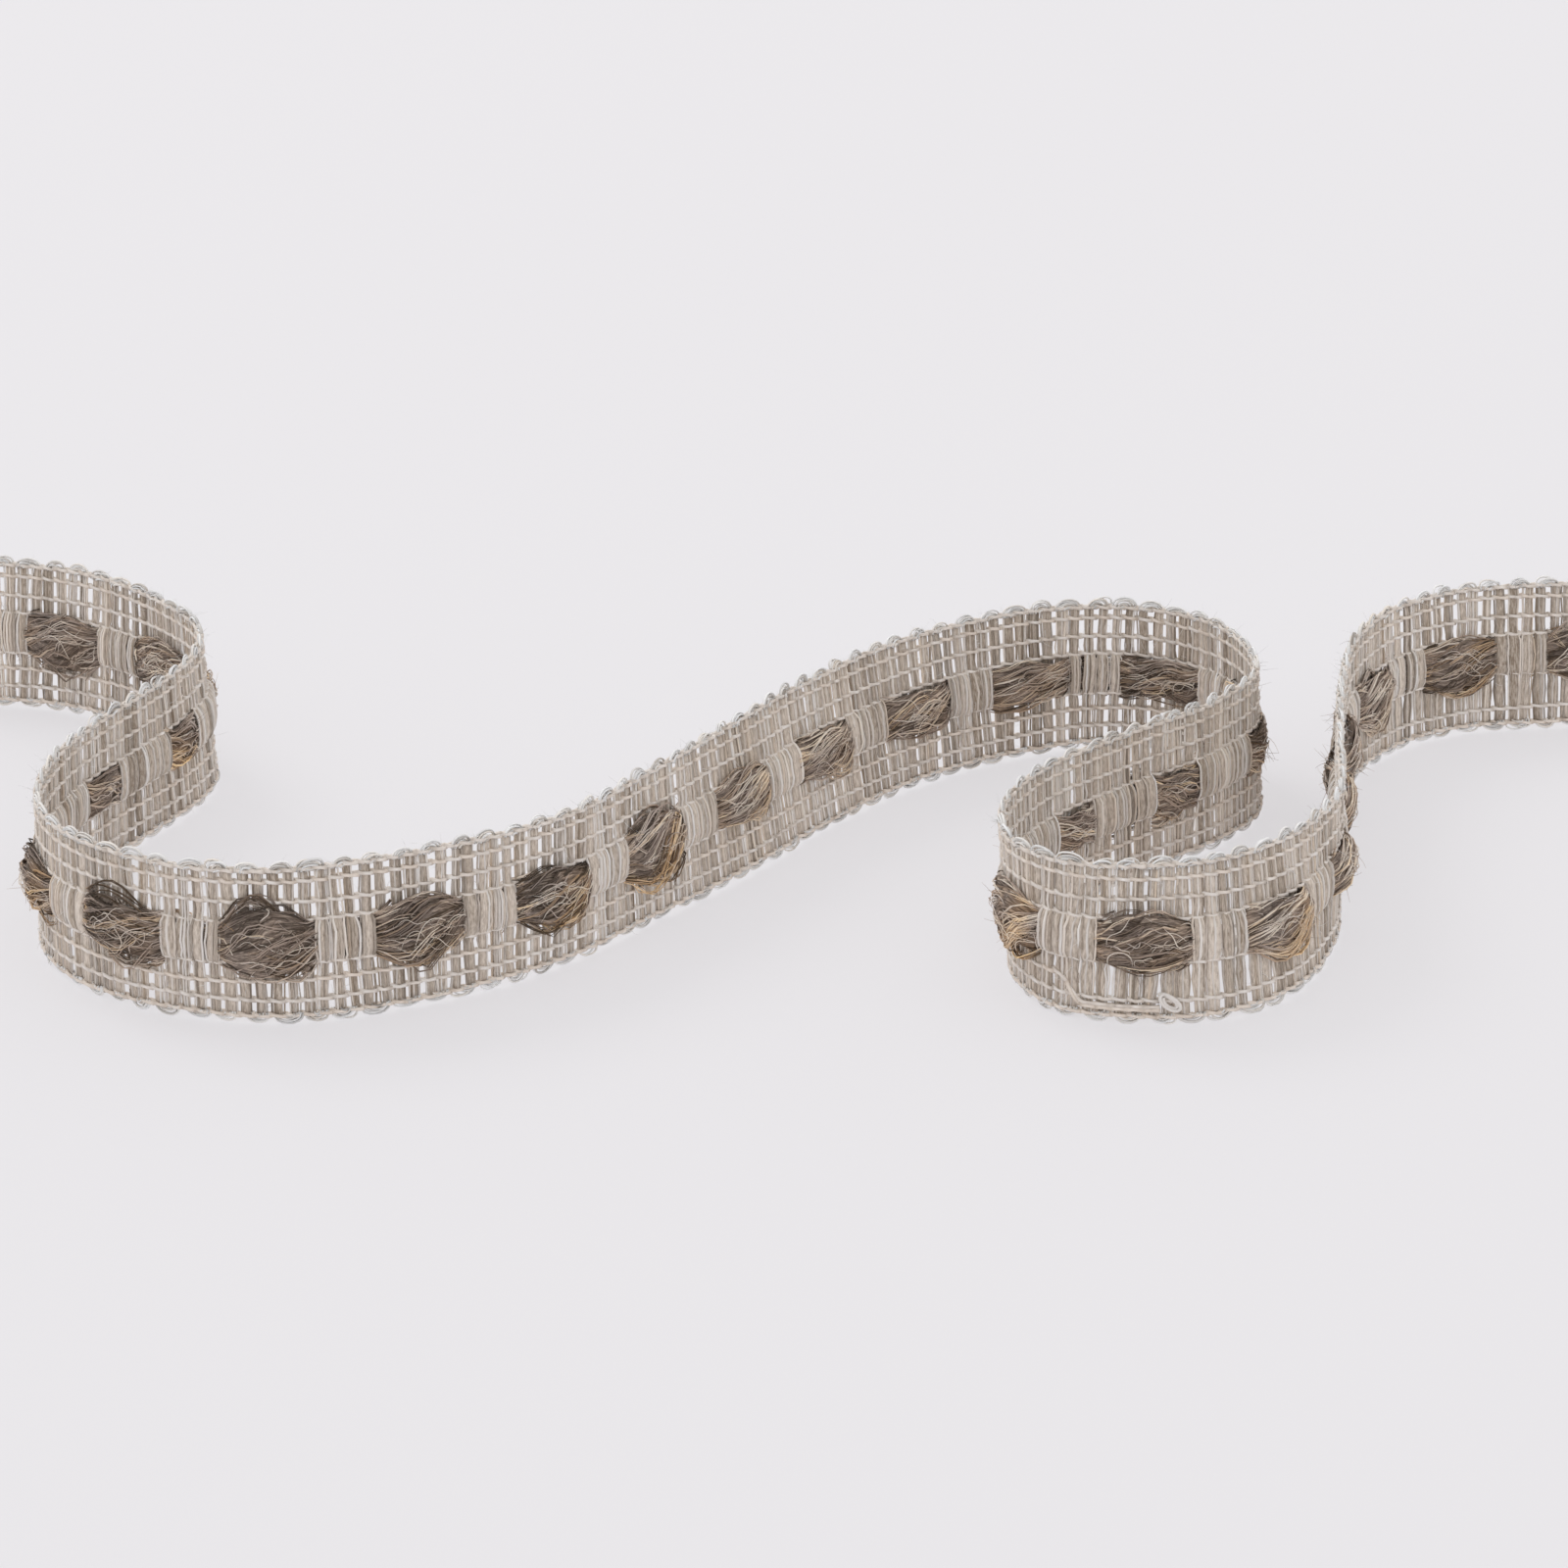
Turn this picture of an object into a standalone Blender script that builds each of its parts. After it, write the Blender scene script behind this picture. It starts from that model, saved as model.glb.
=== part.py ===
"""Open-weave linen tape trim with a thick jute roving laid in, standing on edge in loose curves.

Both pieces are modelled flat first, in the coordinates of the weave: s along the tape, w up
across its width and n out of its front face. Then every point is laid along the route that the
tape takes over the table. Metres, +Z up, the picots of the lower edge on Z = 0.
"""

import math

import bmesh
import bpy
import numpy as np

MM = 0.001

# The weave. In one repeat the roving lies in front of six bundles of weft and behind four.
BUNDLE_PITCH = 1.8 * MM
BUNDLES_IN_REPEAT = 10
REPEAT = BUNDLES_IN_REPEAT * BUNDLE_PITCH
FIRST_REPEAT = -6.0
LAST_REPEAT = 23.5
BUNDLES = round((LAST_REPEAT - FIRST_REPEAT) * BUNDLES_IN_REPEAT)
TAPE_LENGTH = BUNDLES * BUNDLE_PITCH

# Across the tape. The cloth's channel steps behind the roving, or in front of it, by sloping
# walls between the two half widths. Its middle and the roving's lie a little over the tape's.
TAPE_WIDTH = 20.0 * MM
CLOTH_THICKNESS = 1.0 * MM
PICOT_DEPTH = 0.8 * MM
PICOT_HALF_FLAT = 0.8 * MM
BAND_MIDDLE = 0.4 * MM
CHANNEL_HALF_WIDTH = 2.5 * MM
FLOOR_HALF_WIDTH = 1.3 * MM

# Where the roving goes through the cloth: bundle numbers within a repeat, and the slit's size.
SLIT_BUNDLES = (3, 7)
SLIT_HALF_LENGTH = 0.4 * MM

# How far the channel's floor stands from the cloth's middle plane.
CHANNEL_DEPTHS = (
    # at_repeat, depth_mm
    (0.1, -1.20),  # behind the middle of an exposed stretch
    (0.28, -1.40),  # behind the roving, at the slit
    (0.32, 1.40),  # in front of the roving, at the slit
    (0.5, 1.20),  # in front of the middle of a covered stretch
)

# Half of the roving's outline at five places from the middle of an exposed stretch (0) to the
# middle of a covered one (0.5). crown lies in front, keel behind. w is from the channel's middle
# line and n from the cloth's middle plane, all in millimetres.
ROVING_SECTIONS = (
    # at, crown_n, shoulder_w, _n, brim_w, _n, under_w, _n, neck_w, _n, keel_w, _n
    (0.00, 2.30, 2.20, 2.00, 4.20, 1.30, 3.50, 0.82, 1.30, 0.80, 0.70, -0.40),
    (0.12, 2.05, 1.90, 1.80, 3.60, 1.20, 3.00, 0.82, 1.30, 0.80, 0.70, -0.40),
    (0.22, 1.40, 1.10, 1.25, 2.10, 1.00, 1.50, 0.82, 1.20, 0.35, 0.70, -0.50),
    (0.30, 0.60, 0.60, 0.55, 1.10, 0.30, 1.30, 0.00, 1.10, -0.35, 0.60, -0.60),
    (0.50, 0.40, 0.60, 0.38, 1.00, 0.10, 1.20, -0.80, 3.00, -1.00, 1.60, -1.50),
)
# No two exposed stretches are quite as wide.
BULGE_VARIATION = 0.12
BULGE_WAVE = 2.4

# The route of the tape's middle line, seen from above, and how far the top edge leans over
# towards the back face. A row for each stretch or bend.
ROUTE = (
    # x_mm, y_mm, lean_deg
    (-112.0, 29.0, 8.0),  # far run, from the cut end
    (-94.5, 25.0, 6.5),
    (-80.5, 14.5, 0.0),  # first turn, back towards the front
    (-75.0, 7.0, -2.5),
    (-73.5, -1.5, -4.0),
    (-76.0, -10.5, -2.5),
    (-80.0, -18.5, 0.0),
    (-87.5, -34.5, 2.0),
    (-89.0, -43.5, 1.5),  # second turn, round to the long run
    (-88.0, -52.5, 0.5),
    (-83.5, -60.5, 0.0),
    (-77.0, -66.0, -0.5),
    (-60.0, -71.0, 0.5),
    (-42.5, -66.0, 1.0),  # long run, rising to the right
    (-27.5, -56.5, -1.0),
    (-16.0, -42.5, 2.0),
    (-5.5, -28.0, 8.5),
    (4.5, -13.0, 10.0),
    (16.5, 0.5, 9.0),
    (31.5, 10.0, 6.0),
    (40.0, 12.5, 2.5),  # third turn
    (49.0, 11.5, -1.0),
    (56.0, 6.0, -2.9),
    (59.3, -2.0, -3.4),
    (59.3, -11.0, -2.9),
    (54.8, -18.4, -2.4),
    (41.5, -31.0, -2.5),
    (30.0, -44.0, -4.0),
    (26.5, -53.0, -4.5),  # fourth turn, the open loop at the front
    (27.0, -61.5, -4.0),
    (32.5, -68.5, 0.5),
    (41.5, -70.5, 5.0),
    (50.0, -69.0, 9.0),
    (57.0, -64.5, 8.5),
    (65.5, -50.0, 1.5),
    (67.5, -32.5, 0.0),  # run away from the front
    (69.5, -14.5, 1.0),
    (74.0, 3.5, 2.5),
    (79.5, 11.5, 4.5),
    (87.0, 17.0, 6.5),
    (104.5, 20.5, 7.5),  # last run, to the cut end
    (114.0, 22.5, 7.5),
)
STEPS_PER_ROW = 40

LINEN = (0.40, 0.36, 0.32, 1.0)
JUTE = (0.16, 0.125, 0.095, 1.0)


def clear_scene():
    """Removes whatever the scene holds."""
    for item in list(bpy.data.objects):
        bpy.data.objects.remove(item)


def new_collection(name):
    """A collection under the scene's own."""
    collection = bpy.data.collections.new(name)
    bpy.context.scene.collection.children.link(collection)
    return collection


def new_material(name, colour, roughness):
    """A plain Principled material, also set as the viewport colour."""
    material = bpy.data.materials.new(name)
    material.use_nodes = True
    shader = material.node_tree.nodes["Principled BSDF"]
    shader.inputs["Base Color"].default_value = colour
    shader.inputs["Roughness"].default_value = roughness
    shader.inputs["Metallic"].default_value = 0.0
    material.diffuse_color = colour
    return material


def smooth_route():
    """Closely spaced (x, y, lean) along the route, and the length reached at each."""
    rows = np.array(ROUTE) * (MM, MM, math.radians(1.0))
    chords = np.linalg.norm(np.diff(rows[:, :2], axis=0), axis=1)
    slopes = np.gradient(rows, np.concatenate([[0.0], np.cumsum(chords)]), axis=0)
    points = [rows[0]]
    for i, chord in enumerate(chords):
        for share in np.arange(1, STEPS_PER_ROW + 1) / STEPS_PER_ROW:
            back = 1.0 - share
            points.append(
                back**2 * (1 + 2 * share) * rows[i]
                + back**2 * share * chord * slopes[i]
                + share**2 * (1 + 2 * back) * rows[i + 1]
                - share**2 * back * chord * slopes[i + 1]
            )
    points = np.array(points)
    steps = np.linalg.norm(np.diff(points[:, :2], axis=0), axis=1)
    return points, np.concatenate([[0.0], np.cumsum(steps)])


def route_frames():
    """Values of s every two bundles, with the route's x, y, leftward x, leftward y and lean."""
    points, length = smooth_route()
    heading = np.unwrap(np.arctan2(*np.gradient(points[:, :2], length, axis=0).T[::-1]))
    numbers = [0, *range(1, BUNDLES, 2), BUNDLES]
    knots = np.array(numbers) * BUNDLE_PITCH
    reached = knots * length[-1] / TAPE_LENGTH
    turned = np.interp(reached, length, heading)
    x, y, lean = (np.interp(reached, length, points[:, i]) for i in range(3))
    return knots, np.column_stack([x, y, -np.sin(turned), np.cos(turned), lean])


def lay_along_route(flat):
    """World points for flat ones (s, w, n). Between two knots of the route they lie straight."""
    knots, frames = route_frames()
    x, y, left_x, left_y, lean = (np.interp(flat[:, 0], knots, row) for row in frames.T)
    w, n = flat[:, 1], flat[:, 2]
    sideways = w * np.sin(lean) - n * np.cos(lean)
    height = (TAPE_WIDTH / 2 + w) * np.cos(lean) + n * np.sin(lean)
    return np.column_stack([x + sideways * left_x, y + sideways * left_y, height])


def place_in_repeat(s):
    """How far s lies from the middle of the nearest exposed stretch, from 0 to 0.5 repeats."""
    repeats = s / REPEAT + FIRST_REPEAT
    return abs(repeats - round(repeats))


def channel_depth(s):
    """How far the channel's floor stands from the cloth's middle plane at s."""
    at, depth = np.array(CHANNEL_DEPTHS).T
    return float(np.interp(place_in_repeat(s), at, depth)) * MM


def cloth_stations():
    """(s, kind) of each line of points across the cloth: every two bundles, two at each slit."""
    stations = [(0.0, "end")]
    for number in range(1, BUNDLES, 2):
        s = number * BUNDLE_PITCH
        if number % BUNDLES_IN_REPEAT in SLIT_BUNDLES:
            stations += [(s - SLIT_HALF_LENGTH, "slit starts"), (s + SLIT_HALF_LENGTH, "slit ends")]
        else:
            stations.append((s, "plain"))
    return [*stations, (TAPE_LENGTH, "end")]


def picot_points(start, end, side):
    """Flat points of the scalloped edge strictly between two stations, in order."""
    first = math.floor(start[0] / BUNDLE_PITCH + 0.6)
    last = math.ceil(end[0] / BUNDLE_PITCH - 0.6)
    tip = side * TAPE_WIDTH / 2
    points = []
    if last > first:
        if start[1] == "plain":
            points.append((first * BUNDLE_PITCH + PICOT_HALF_FLAT, tip, 0.0))
        if start[1] != "end":
            points.append(((first + 1) * BUNDLE_PITCH, tip - side * PICOT_DEPTH, 0.0))
        if end[1] != "slit starts":
            points.append((last * BUNDLE_PITCH - PICOT_HALF_FLAT, tip, 0.0))
    return points


def edge_point(station, side):
    """Flat point at a station's end on the scalloped edge."""
    s, kind = station
    tip = side * TAPE_WIDTH / 2
    if kind == "end" and s == 0.0:
        return (s, tip - side * PICOT_DEPTH, 0.0)
    middle = round(s / BUNDLE_PITCH) * BUNDLE_PITCH
    shift = {"slit starts": -PICOT_HALF_FLAT, "slit ends": PICOT_HALF_FLAT}.get(kind, 0.0)
    return (middle + shift, tip, 0.0)


def flat_cloth():
    """The cloth as an open surface in flat coordinates, slit where the roving goes through."""
    stations = cloth_stations()
    lanes = (-1.0, -CHANNEL_HALF_WIDTH, -FLOOR_HALF_WIDTH, FLOOR_HALF_WIDTH, CHANNEL_HALF_WIDTH, 1.0)
    columns, rows = len(stations) - 1, len(lanes) - 1
    cloth = bmesh.new()
    bmesh.ops.create_grid(cloth, x_segments=columns, y_segments=rows, size=0.5)
    places = {
        v: (round((v.co.x + 0.5) * columns), round((v.co.y + 0.5) * rows)) for v in cloth.verts
    }
    slits = []
    for face in cloth.faces:
        column = min(places[v][0] for v in face.verts)
        row = min(places[v][1] for v in face.verts)
        if stations[column][1] == "slit starts" and 0 < row < rows - 1:
            slits.append(face)
    edges = [e for e in cloth.edges if e.is_boundary]
    for vertex, (column, row) in places.items():
        s = stations[column][0]
        if row in (0, rows):
            vertex.co = edge_point(stations[column], 1 if row else -1)
        elif row in (1, rows - 1):
            vertex.co = (s, BAND_MIDDLE + lanes[row], 0.0)
        else:
            vertex.co = (s, BAND_MIDDLE + lanes[row], channel_depth(s))
    for edge in edges:
        low, high = sorted(edge.verts, key=lambda v: places[v])
        (column, row), (next_column, _) = places[low], places[high]
        if column == next_column:
            continue
        here = low
        side = 1 if row else -1
        for point in picot_points(stations[column], stations[next_column], side):
            piece = next(e for e in here.link_edges if high in e.verts)
            _, here = bmesh.utils.edge_split(piece, here, 0.5)
            here.co = point
    bmesh.ops.delete(cloth, geom=slits, context="FACES")
    return cloth


def thickened(surface, name, thickness):
    """A mesh with an open surface's two faces and its rims, from a Solidify modifier."""
    mesh = bpy.data.meshes.new(name)
    surface.to_mesh(mesh)
    surface.free()
    helper = bpy.data.objects.new(name + "_sheet", mesh)
    bpy.context.scene.collection.objects.link(helper)
    solidify = helper.modifiers.new("thickness", "SOLIDIFY")
    solidify.thickness = thickness
    solidify.offset = 0.0
    solidify.use_even_offset = True
    graph = bpy.context.evaluated_depsgraph_get()
    solid = bpy.data.meshes.new_from_object(helper.evaluated_get(graph))
    bpy.data.objects.remove(helper)
    solid.name = name
    return solid


def lay_mesh(mesh):
    """Moves a flat mesh's points along the route, with the soles of the picots made level."""
    flat = np.empty(len(mesh.vertices) * 3)
    mesh.vertices.foreach_get("co", flat)
    laid = lay_along_route(flat.reshape(-1, 3))
    laid[laid[:, 2] < CLOTH_THICKNESS / 4, 2] = 0.0
    mesh.vertices.foreach_set("co", laid.ravel())
    mesh.update()


def add_piece(name, mesh, material, collection):
    """An object for a finished mesh, with its faces pointing out."""
    tidy = bmesh.new()
    tidy.from_mesh(mesh)
    bmesh.ops.recalc_face_normals(tidy, faces=tidy.faces)
    tidy.to_mesh(mesh)
    tidy.free()
    mesh.materials.clear()
    mesh.materials.append(material)
    mesh.shade_smooth()
    mesh.set_sharp_from_angle(angle=math.radians(40))
    piece = bpy.data.objects.new(name, mesh)
    collection.objects.link(piece)
    return piece


def build_cloth(collection):
    """The woven linen ground, one solid from end to end."""
    mesh = thickened(flat_cloth(), "woven_ground", CLOTH_THICKNESS)
    lay_mesh(mesh)
    return add_piece("woven_ground", mesh, new_material("linen", LINEN, 0.9), collection)


def roving_outline(s):
    """The roving's outline at s as flat points, counted round from the crown."""
    table = np.array(ROVING_SECTIONS)
    place = place_in_repeat(s)
    row = [float(np.interp(place, table[:, 0], column)) * MM for column in table[:, 1:].T]
    number = round(s / REPEAT)
    exposed = max(0.0, 1.0 - place / 0.22)
    swell = 1.0 + BULGE_VARIATION * math.sin(BULGE_WAVE * number) * exposed
    half = list(zip(row[1::2], row[2::2]))
    half[:3] = [(w * swell, n) for w, n in half[:3]]
    right = [(s, BAND_MIDDLE + w, n) for w, n in half]
    left = [(s, BAND_MIDDLE - w, n) for w, n in reversed(half)]
    return [(s, BAND_MIDDLE, row[0]), *right, *left]


def roving_stations():
    """Values of s at the roving's rings, one for each row of its table in each half repeat."""
    ahead = [row[0] for row in ROVING_SECTIONS]
    within = sorted({*ahead, *(1.0 - at for at in ahead if at > 0.0)})
    repeats = range(math.floor(FIRST_REPEAT), math.ceil(LAST_REPEAT) + 1)
    places = [number + part - FIRST_REPEAT for number in repeats for part in within]
    return [p * REPEAT for p in places if -1e-6 <= p * REPEAT <= TAPE_LENGTH + 1e-6]


def build_roving(collection):
    """The jute roving: one thick strand, in front of the weft and behind it by turns."""
    stations = roving_stations()
    rings = len(stations) - 1
    sides = len(roving_outline(0.0))
    strand = bmesh.new()
    bmesh.ops.create_cone(
        strand, cap_ends=True, segments=sides, radius1=1.0, radius2=1.0, depth=1.0
    )
    lengthwise = [e for e in strand.edges if abs(e.verts[0].co.z - e.verts[1].co.z) > 0.5]
    bmesh.ops.subdivide_edges(strand, edges=lengthwise, cuts=rings - 1, use_grid_fill=True)
    outlines = [roving_outline(s) for s in stations]
    for vertex in strand.verts:
        ring = round((vertex.co.z + 0.5) * rings)
        turn = math.atan2(vertex.co.x, vertex.co.y) / math.tau
        vertex.co = outlines[ring][round(turn * sides) % sides]
    mesh = bpy.data.meshes.new("jute_roving")
    strand.to_mesh(mesh)
    strand.free()
    lay_mesh(mesh)
    return add_piece("jute_roving", mesh, new_material("jute", JUTE, 0.95), collection)


def centre_on_origin(pieces):
    """Shifts all the pieces so that their common bounding box is centred over the origin."""
    xy = np.array([v.co.xy for piece in pieces for v in piece.data.vertices])
    middle_x, middle_y = (xy.min(axis=0) + xy.max(axis=0)) / 2
    for piece in pieces:
        bmesh_copy = bmesh.new()
        bmesh_copy.from_mesh(piece.data)
        bmesh.ops.translate(
            bmesh_copy, verts=bmesh_copy.verts, vec=(-float(middle_x), -float(middle_y), 0.0)
        )
        bmesh_copy.to_mesh(piece.data)
        bmesh_copy.free()


def main():
    """Builds the trim."""
    clear_scene()
    trim = new_collection("open_weave_tape_trim")
    centre_on_origin([build_cloth(trim), build_roving(trim)])


main()
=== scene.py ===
"""Looks of an open-weave linen tape trim with a jute roving, standing on edge in loose curves.

Every yarn is modelled. The weave is worked out flat, in millimetres: s along the tape from its
left cut end, w up across its width from the middle line, and n out of its front face. The route
then lays each point along the curves in which the tape stands.
"""

import logging
import math
from dataclasses import dataclass
from enum import Enum

import bmesh
import bpy
import numpy as np
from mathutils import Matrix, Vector

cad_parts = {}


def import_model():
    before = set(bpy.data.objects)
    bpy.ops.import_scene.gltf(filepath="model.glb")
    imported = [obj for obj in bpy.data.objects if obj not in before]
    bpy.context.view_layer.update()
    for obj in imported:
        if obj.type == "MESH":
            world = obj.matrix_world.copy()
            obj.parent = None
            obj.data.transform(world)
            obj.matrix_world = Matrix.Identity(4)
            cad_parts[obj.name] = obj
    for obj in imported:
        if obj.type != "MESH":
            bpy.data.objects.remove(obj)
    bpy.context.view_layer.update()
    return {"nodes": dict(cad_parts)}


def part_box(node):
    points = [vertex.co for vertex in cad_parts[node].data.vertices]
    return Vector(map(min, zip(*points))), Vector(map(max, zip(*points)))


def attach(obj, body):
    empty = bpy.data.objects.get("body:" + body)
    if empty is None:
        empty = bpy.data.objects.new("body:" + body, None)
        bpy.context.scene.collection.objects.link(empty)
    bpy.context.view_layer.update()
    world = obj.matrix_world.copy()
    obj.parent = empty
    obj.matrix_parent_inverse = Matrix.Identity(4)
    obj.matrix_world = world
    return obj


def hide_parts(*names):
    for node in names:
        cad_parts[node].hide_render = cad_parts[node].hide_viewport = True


LOG = logging.getLogger("tape_trim")
MM = 0.001
SEED = 20
TINY = 1e-12

Colour = tuple[float, float, float]
# Two numbers that belong together: a lowest and a highest, a mean and a spread, a size and a
# wavelength, or values for the upper and the lower side.
Span = tuple[float, float]
Point = tuple[float, float, float]


class Slot(Enum):
    """Material slots of the record."""

    LINEN = "linen"
    JUTE = "jute"


class Side(Enum):
    """The two edges of the tape, and the two faces, by sign."""

    PLUS = 1
    MINUS = -1


@dataclass(frozen=True)
class Weave:
    """Sizes of the weave in millimetres.

    In one repeat the roving lies in front of six bundles of weft and behind four.
    """

    pitch: float = 1.8
    bundles_in_repeat: int = 10
    first_repeat: float = -6.0
    last_repeat: float = 23.5
    width: float = 20.0
    cloth_thickness: float = 1.0
    bundles_over: tuple[int, ...] = (3, 4, 5, 6)
    band_top: float = 3.0
    band_bottom: float = -2.25
    slit_at: float = 0.3

    @property
    def repeat(self) -> float:
        """Length of one repeat."""
        return self.pitch * self.bundles_in_repeat

    @property
    def bundles(self) -> int:
        """Number of weft bundles in the whole tape."""
        return round((self.last_repeat - self.first_repeat) * self.bundles_in_repeat)

    @property
    def length(self) -> float:
        """Length of the whole tape."""
        return self.bundles * self.pitch

    @property
    def band_middle(self) -> float:
        """Where the roving's middle lies across the tape."""
        return (self.band_top + self.band_bottom) / 2

    def at_repeat(self, repeats: float | np.ndarray) -> float | np.ndarray:
        """Length along the tape of a place counted in repeats."""
        return (repeats - self.first_repeat) * self.repeat

    def in_repeats(self, s: np.ndarray) -> np.ndarray:
        """Places along the tape, counted in repeats."""
        return s / self.repeat + self.first_repeat

    def stretch(self, s: np.ndarray) -> np.ndarray:
        """Numbers of the nearest bare stretches, whole on the front and halves on the back."""
        return np.round(2.0 * self.in_repeats(s)) / 2.0

    def from_exposure(self, s: np.ndarray) -> np.ndarray:
        """Signed distance from the middle of the nearest exposed stretch.

        Args:
            s: Lengths along the tape.

        Returns:
            Distances in repeats, from -0.5 to 0.5.
        """
        repeats = self.in_repeats(s)
        return repeats - np.round(repeats)


WEAVE = Weave()


@dataclass(frozen=True)
class Route:
    """The curves in which the tape stands: a row for each stretch or bend.

    Each row holds x and y of the middle line in millimetres, seen from above, and the lean of
    the top edge towards the back face in degrees.
    """

    rows: tuple[Point, ...] = (
        (-112.0, 29.0, 8.0),  # far run, from the cut end
        (-94.5, 25.0, 6.5),
        (-80.5, 14.5, 0.0),  # first turn, back towards the front
        (-75.0, 7.0, -2.5),
        (-73.5, -1.5, -4.0),
        (-76.0, -10.5, -2.5),
        (-80.0, -18.5, 0.0),
        (-87.5, -34.5, 2.0),
        (-89.0, -43.5, 1.5),  # second turn, round to the long run
        (-88.0, -52.5, 0.5),
        (-83.5, -60.5, 0.0),
        (-77.0, -66.0, -0.5),
        (-60.0, -71.0, 0.5),
        (-42.5, -66.0, 1.0),  # long run, rising to the right
        (-27.5, -56.5, -1.0),
        (-16.0, -42.5, 2.0),
        (-5.5, -28.0, 8.5),
        (4.5, -13.0, 10.0),
        (16.5, 0.5, 9.0),
        (31.5, 10.0, 6.0),
        (40.0, 12.5, 2.5),  # third turn
        (49.0, 11.5, -1.0),
        (56.0, 6.0, -2.9),
        (59.3, -2.0, -3.4),
        (59.3, -11.0, -2.9),
        (54.8, -18.4, -2.4),
        (41.5, -31.0, -2.5),
        (30.0, -44.0, -4.0),
        (26.5, -53.0, -4.5),  # fourth turn, the open loop at the front
        (27.0, -61.5, -4.0),
        (32.5, -68.5, 0.5),
        (41.5, -70.5, 5.0),
        (50.0, -69.0, 9.0),
        (57.0, -64.5, 8.5),
        (65.5, -50.0, 1.5),
        (67.5, -32.5, 0.0),  # run away from the front
        (69.5, -14.5, 1.0),
        (74.0, 3.5, 2.5),
        (79.5, 11.5, 4.5),
        (87.0, 17.0, 6.5),
        (104.5, 20.5, 7.5),  # last run, to the cut end
        (114.0, 22.5, 7.5),
    )
    steps_per_row: int = 40
    box_places: int = 4000

    def smooth(self) -> tuple[np.ndarray, np.ndarray]:
        """Fine points on the route.

        Returns:
            Rows of x, y and lean in millimetres and radians, and the length reached at each.
        """
        rows = np.array(self.rows) * (1.0, 1.0, math.radians(1.0))
        chords = np.linalg.norm(np.diff(rows[:, :2], axis=0), axis=1)
        slopes = np.gradient(rows, np.concatenate([[0.0], np.cumsum(chords)]), axis=0)
        points = [rows[0]]
        for i, chord in enumerate(chords):
            for share in np.arange(1, self.steps_per_row + 1) / self.steps_per_row:
                back = 1.0 - share
                points.append(
                    back**2 * (1 + 2 * share) * rows[i]
                    + back**2 * share * chord * slopes[i]
                    + share**2 * (1 + 2 * back) * rows[i + 1]
                    - share**2 * back * chord * slopes[i + 1]
                )
        fine = np.array(points)
        steps = np.linalg.norm(np.diff(fine[:, :2], axis=0), axis=1)
        return fine, np.concatenate([[0.0], np.cumsum(steps)])

    def lay(self, flat: np.ndarray) -> np.ndarray:
        """Lays flat points along the route.

        Args:
            flat: Rows of s, w and n in millimetres.

        Returns:
            Rows of x, y and z in millimetres, as the route's table counts them.
        """
        fine, length = self.smooth()
        slope = np.gradient(fine[:, :2], length, axis=0)
        heading = np.unwrap(np.arctan2(slope[:, 1], slope[:, 0]))
        reached = flat[:, 0] * length[-1] / WEAVE.length
        x, y, lean = (np.interp(reached, length, fine[:, i]) for i in range(3))
        turned = np.interp(reached, length, heading)
        w, n = flat[:, 1], flat[:, 2]
        sideways = w * np.sin(lean) - n * np.cos(lean)
        height = (WEAVE.width / 2 + w) * np.cos(lean) + n * np.sin(lean)
        return np.column_stack(
            [x - sideways * np.sin(turned), y + sideways * np.cos(turned), height]
        )

    def shift_to_frame(self) -> np.ndarray:
        """How far the frame's origin lies from the table's, from the ground's own box.

        Returns:
            The shift in x, y and z, in millimetres.
        """
        s = np.linspace(0.0, WEAVE.length, self.box_places)
        half, skin = WEAVE.width / 2, WEAVE.cloth_thickness / 2
        corners = [
            np.column_stack([s, np.full_like(s, w), np.full_like(s, n)])
            for w in (-half, half)
            for n in (-skin, skin)
        ]
        laid = self.lay(np.concatenate(corners))
        low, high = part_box("woven_ground")
        middle = np.array((low + high) / 2) / MM
        shift = middle - (laid.min(axis=0) + laid.max(axis=0)) / 2
        shift[2] = 0.0
        return shift


class Trim:
    """The route together with its place in the frame."""

    def __init__(self) -> None:
        """Measures where the frame's origin lies."""
        self.route = Route()
        self.shift = self.route.shift_to_frame()

    def place(self, flat: np.ndarray) -> np.ndarray:
        """World points in metres for flat ones.

        Args:
            flat: Rows of s, w and n in millimetres.

        Returns:
            Rows of x, y and z in metres.
        """
        laid = (self.route.lay(flat) + self.shift) * MM
        laid[:, 2] = np.maximum(laid[:, 2], 0.0)
        return laid


def shader_material(
    name: str, values: dict[str, float | tuple[float, ...]]
) -> tuple[bpy.types.Material, bpy.types.Node]:
    """A new material, with constants set on its shader's own sockets.

    Args:
        name: The material's name.
        values: The value of each socket that isn't left as it is.

    Returns:
        The material and its Principled shader.
    """
    material = bpy.data.materials.new(name)
    material.use_nodes = True
    shader = material.node_tree.nodes["Principled BSDF"]
    for socket, value in values.items():
        shader.inputs[socket].default_value = value
    return material, shader


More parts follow.
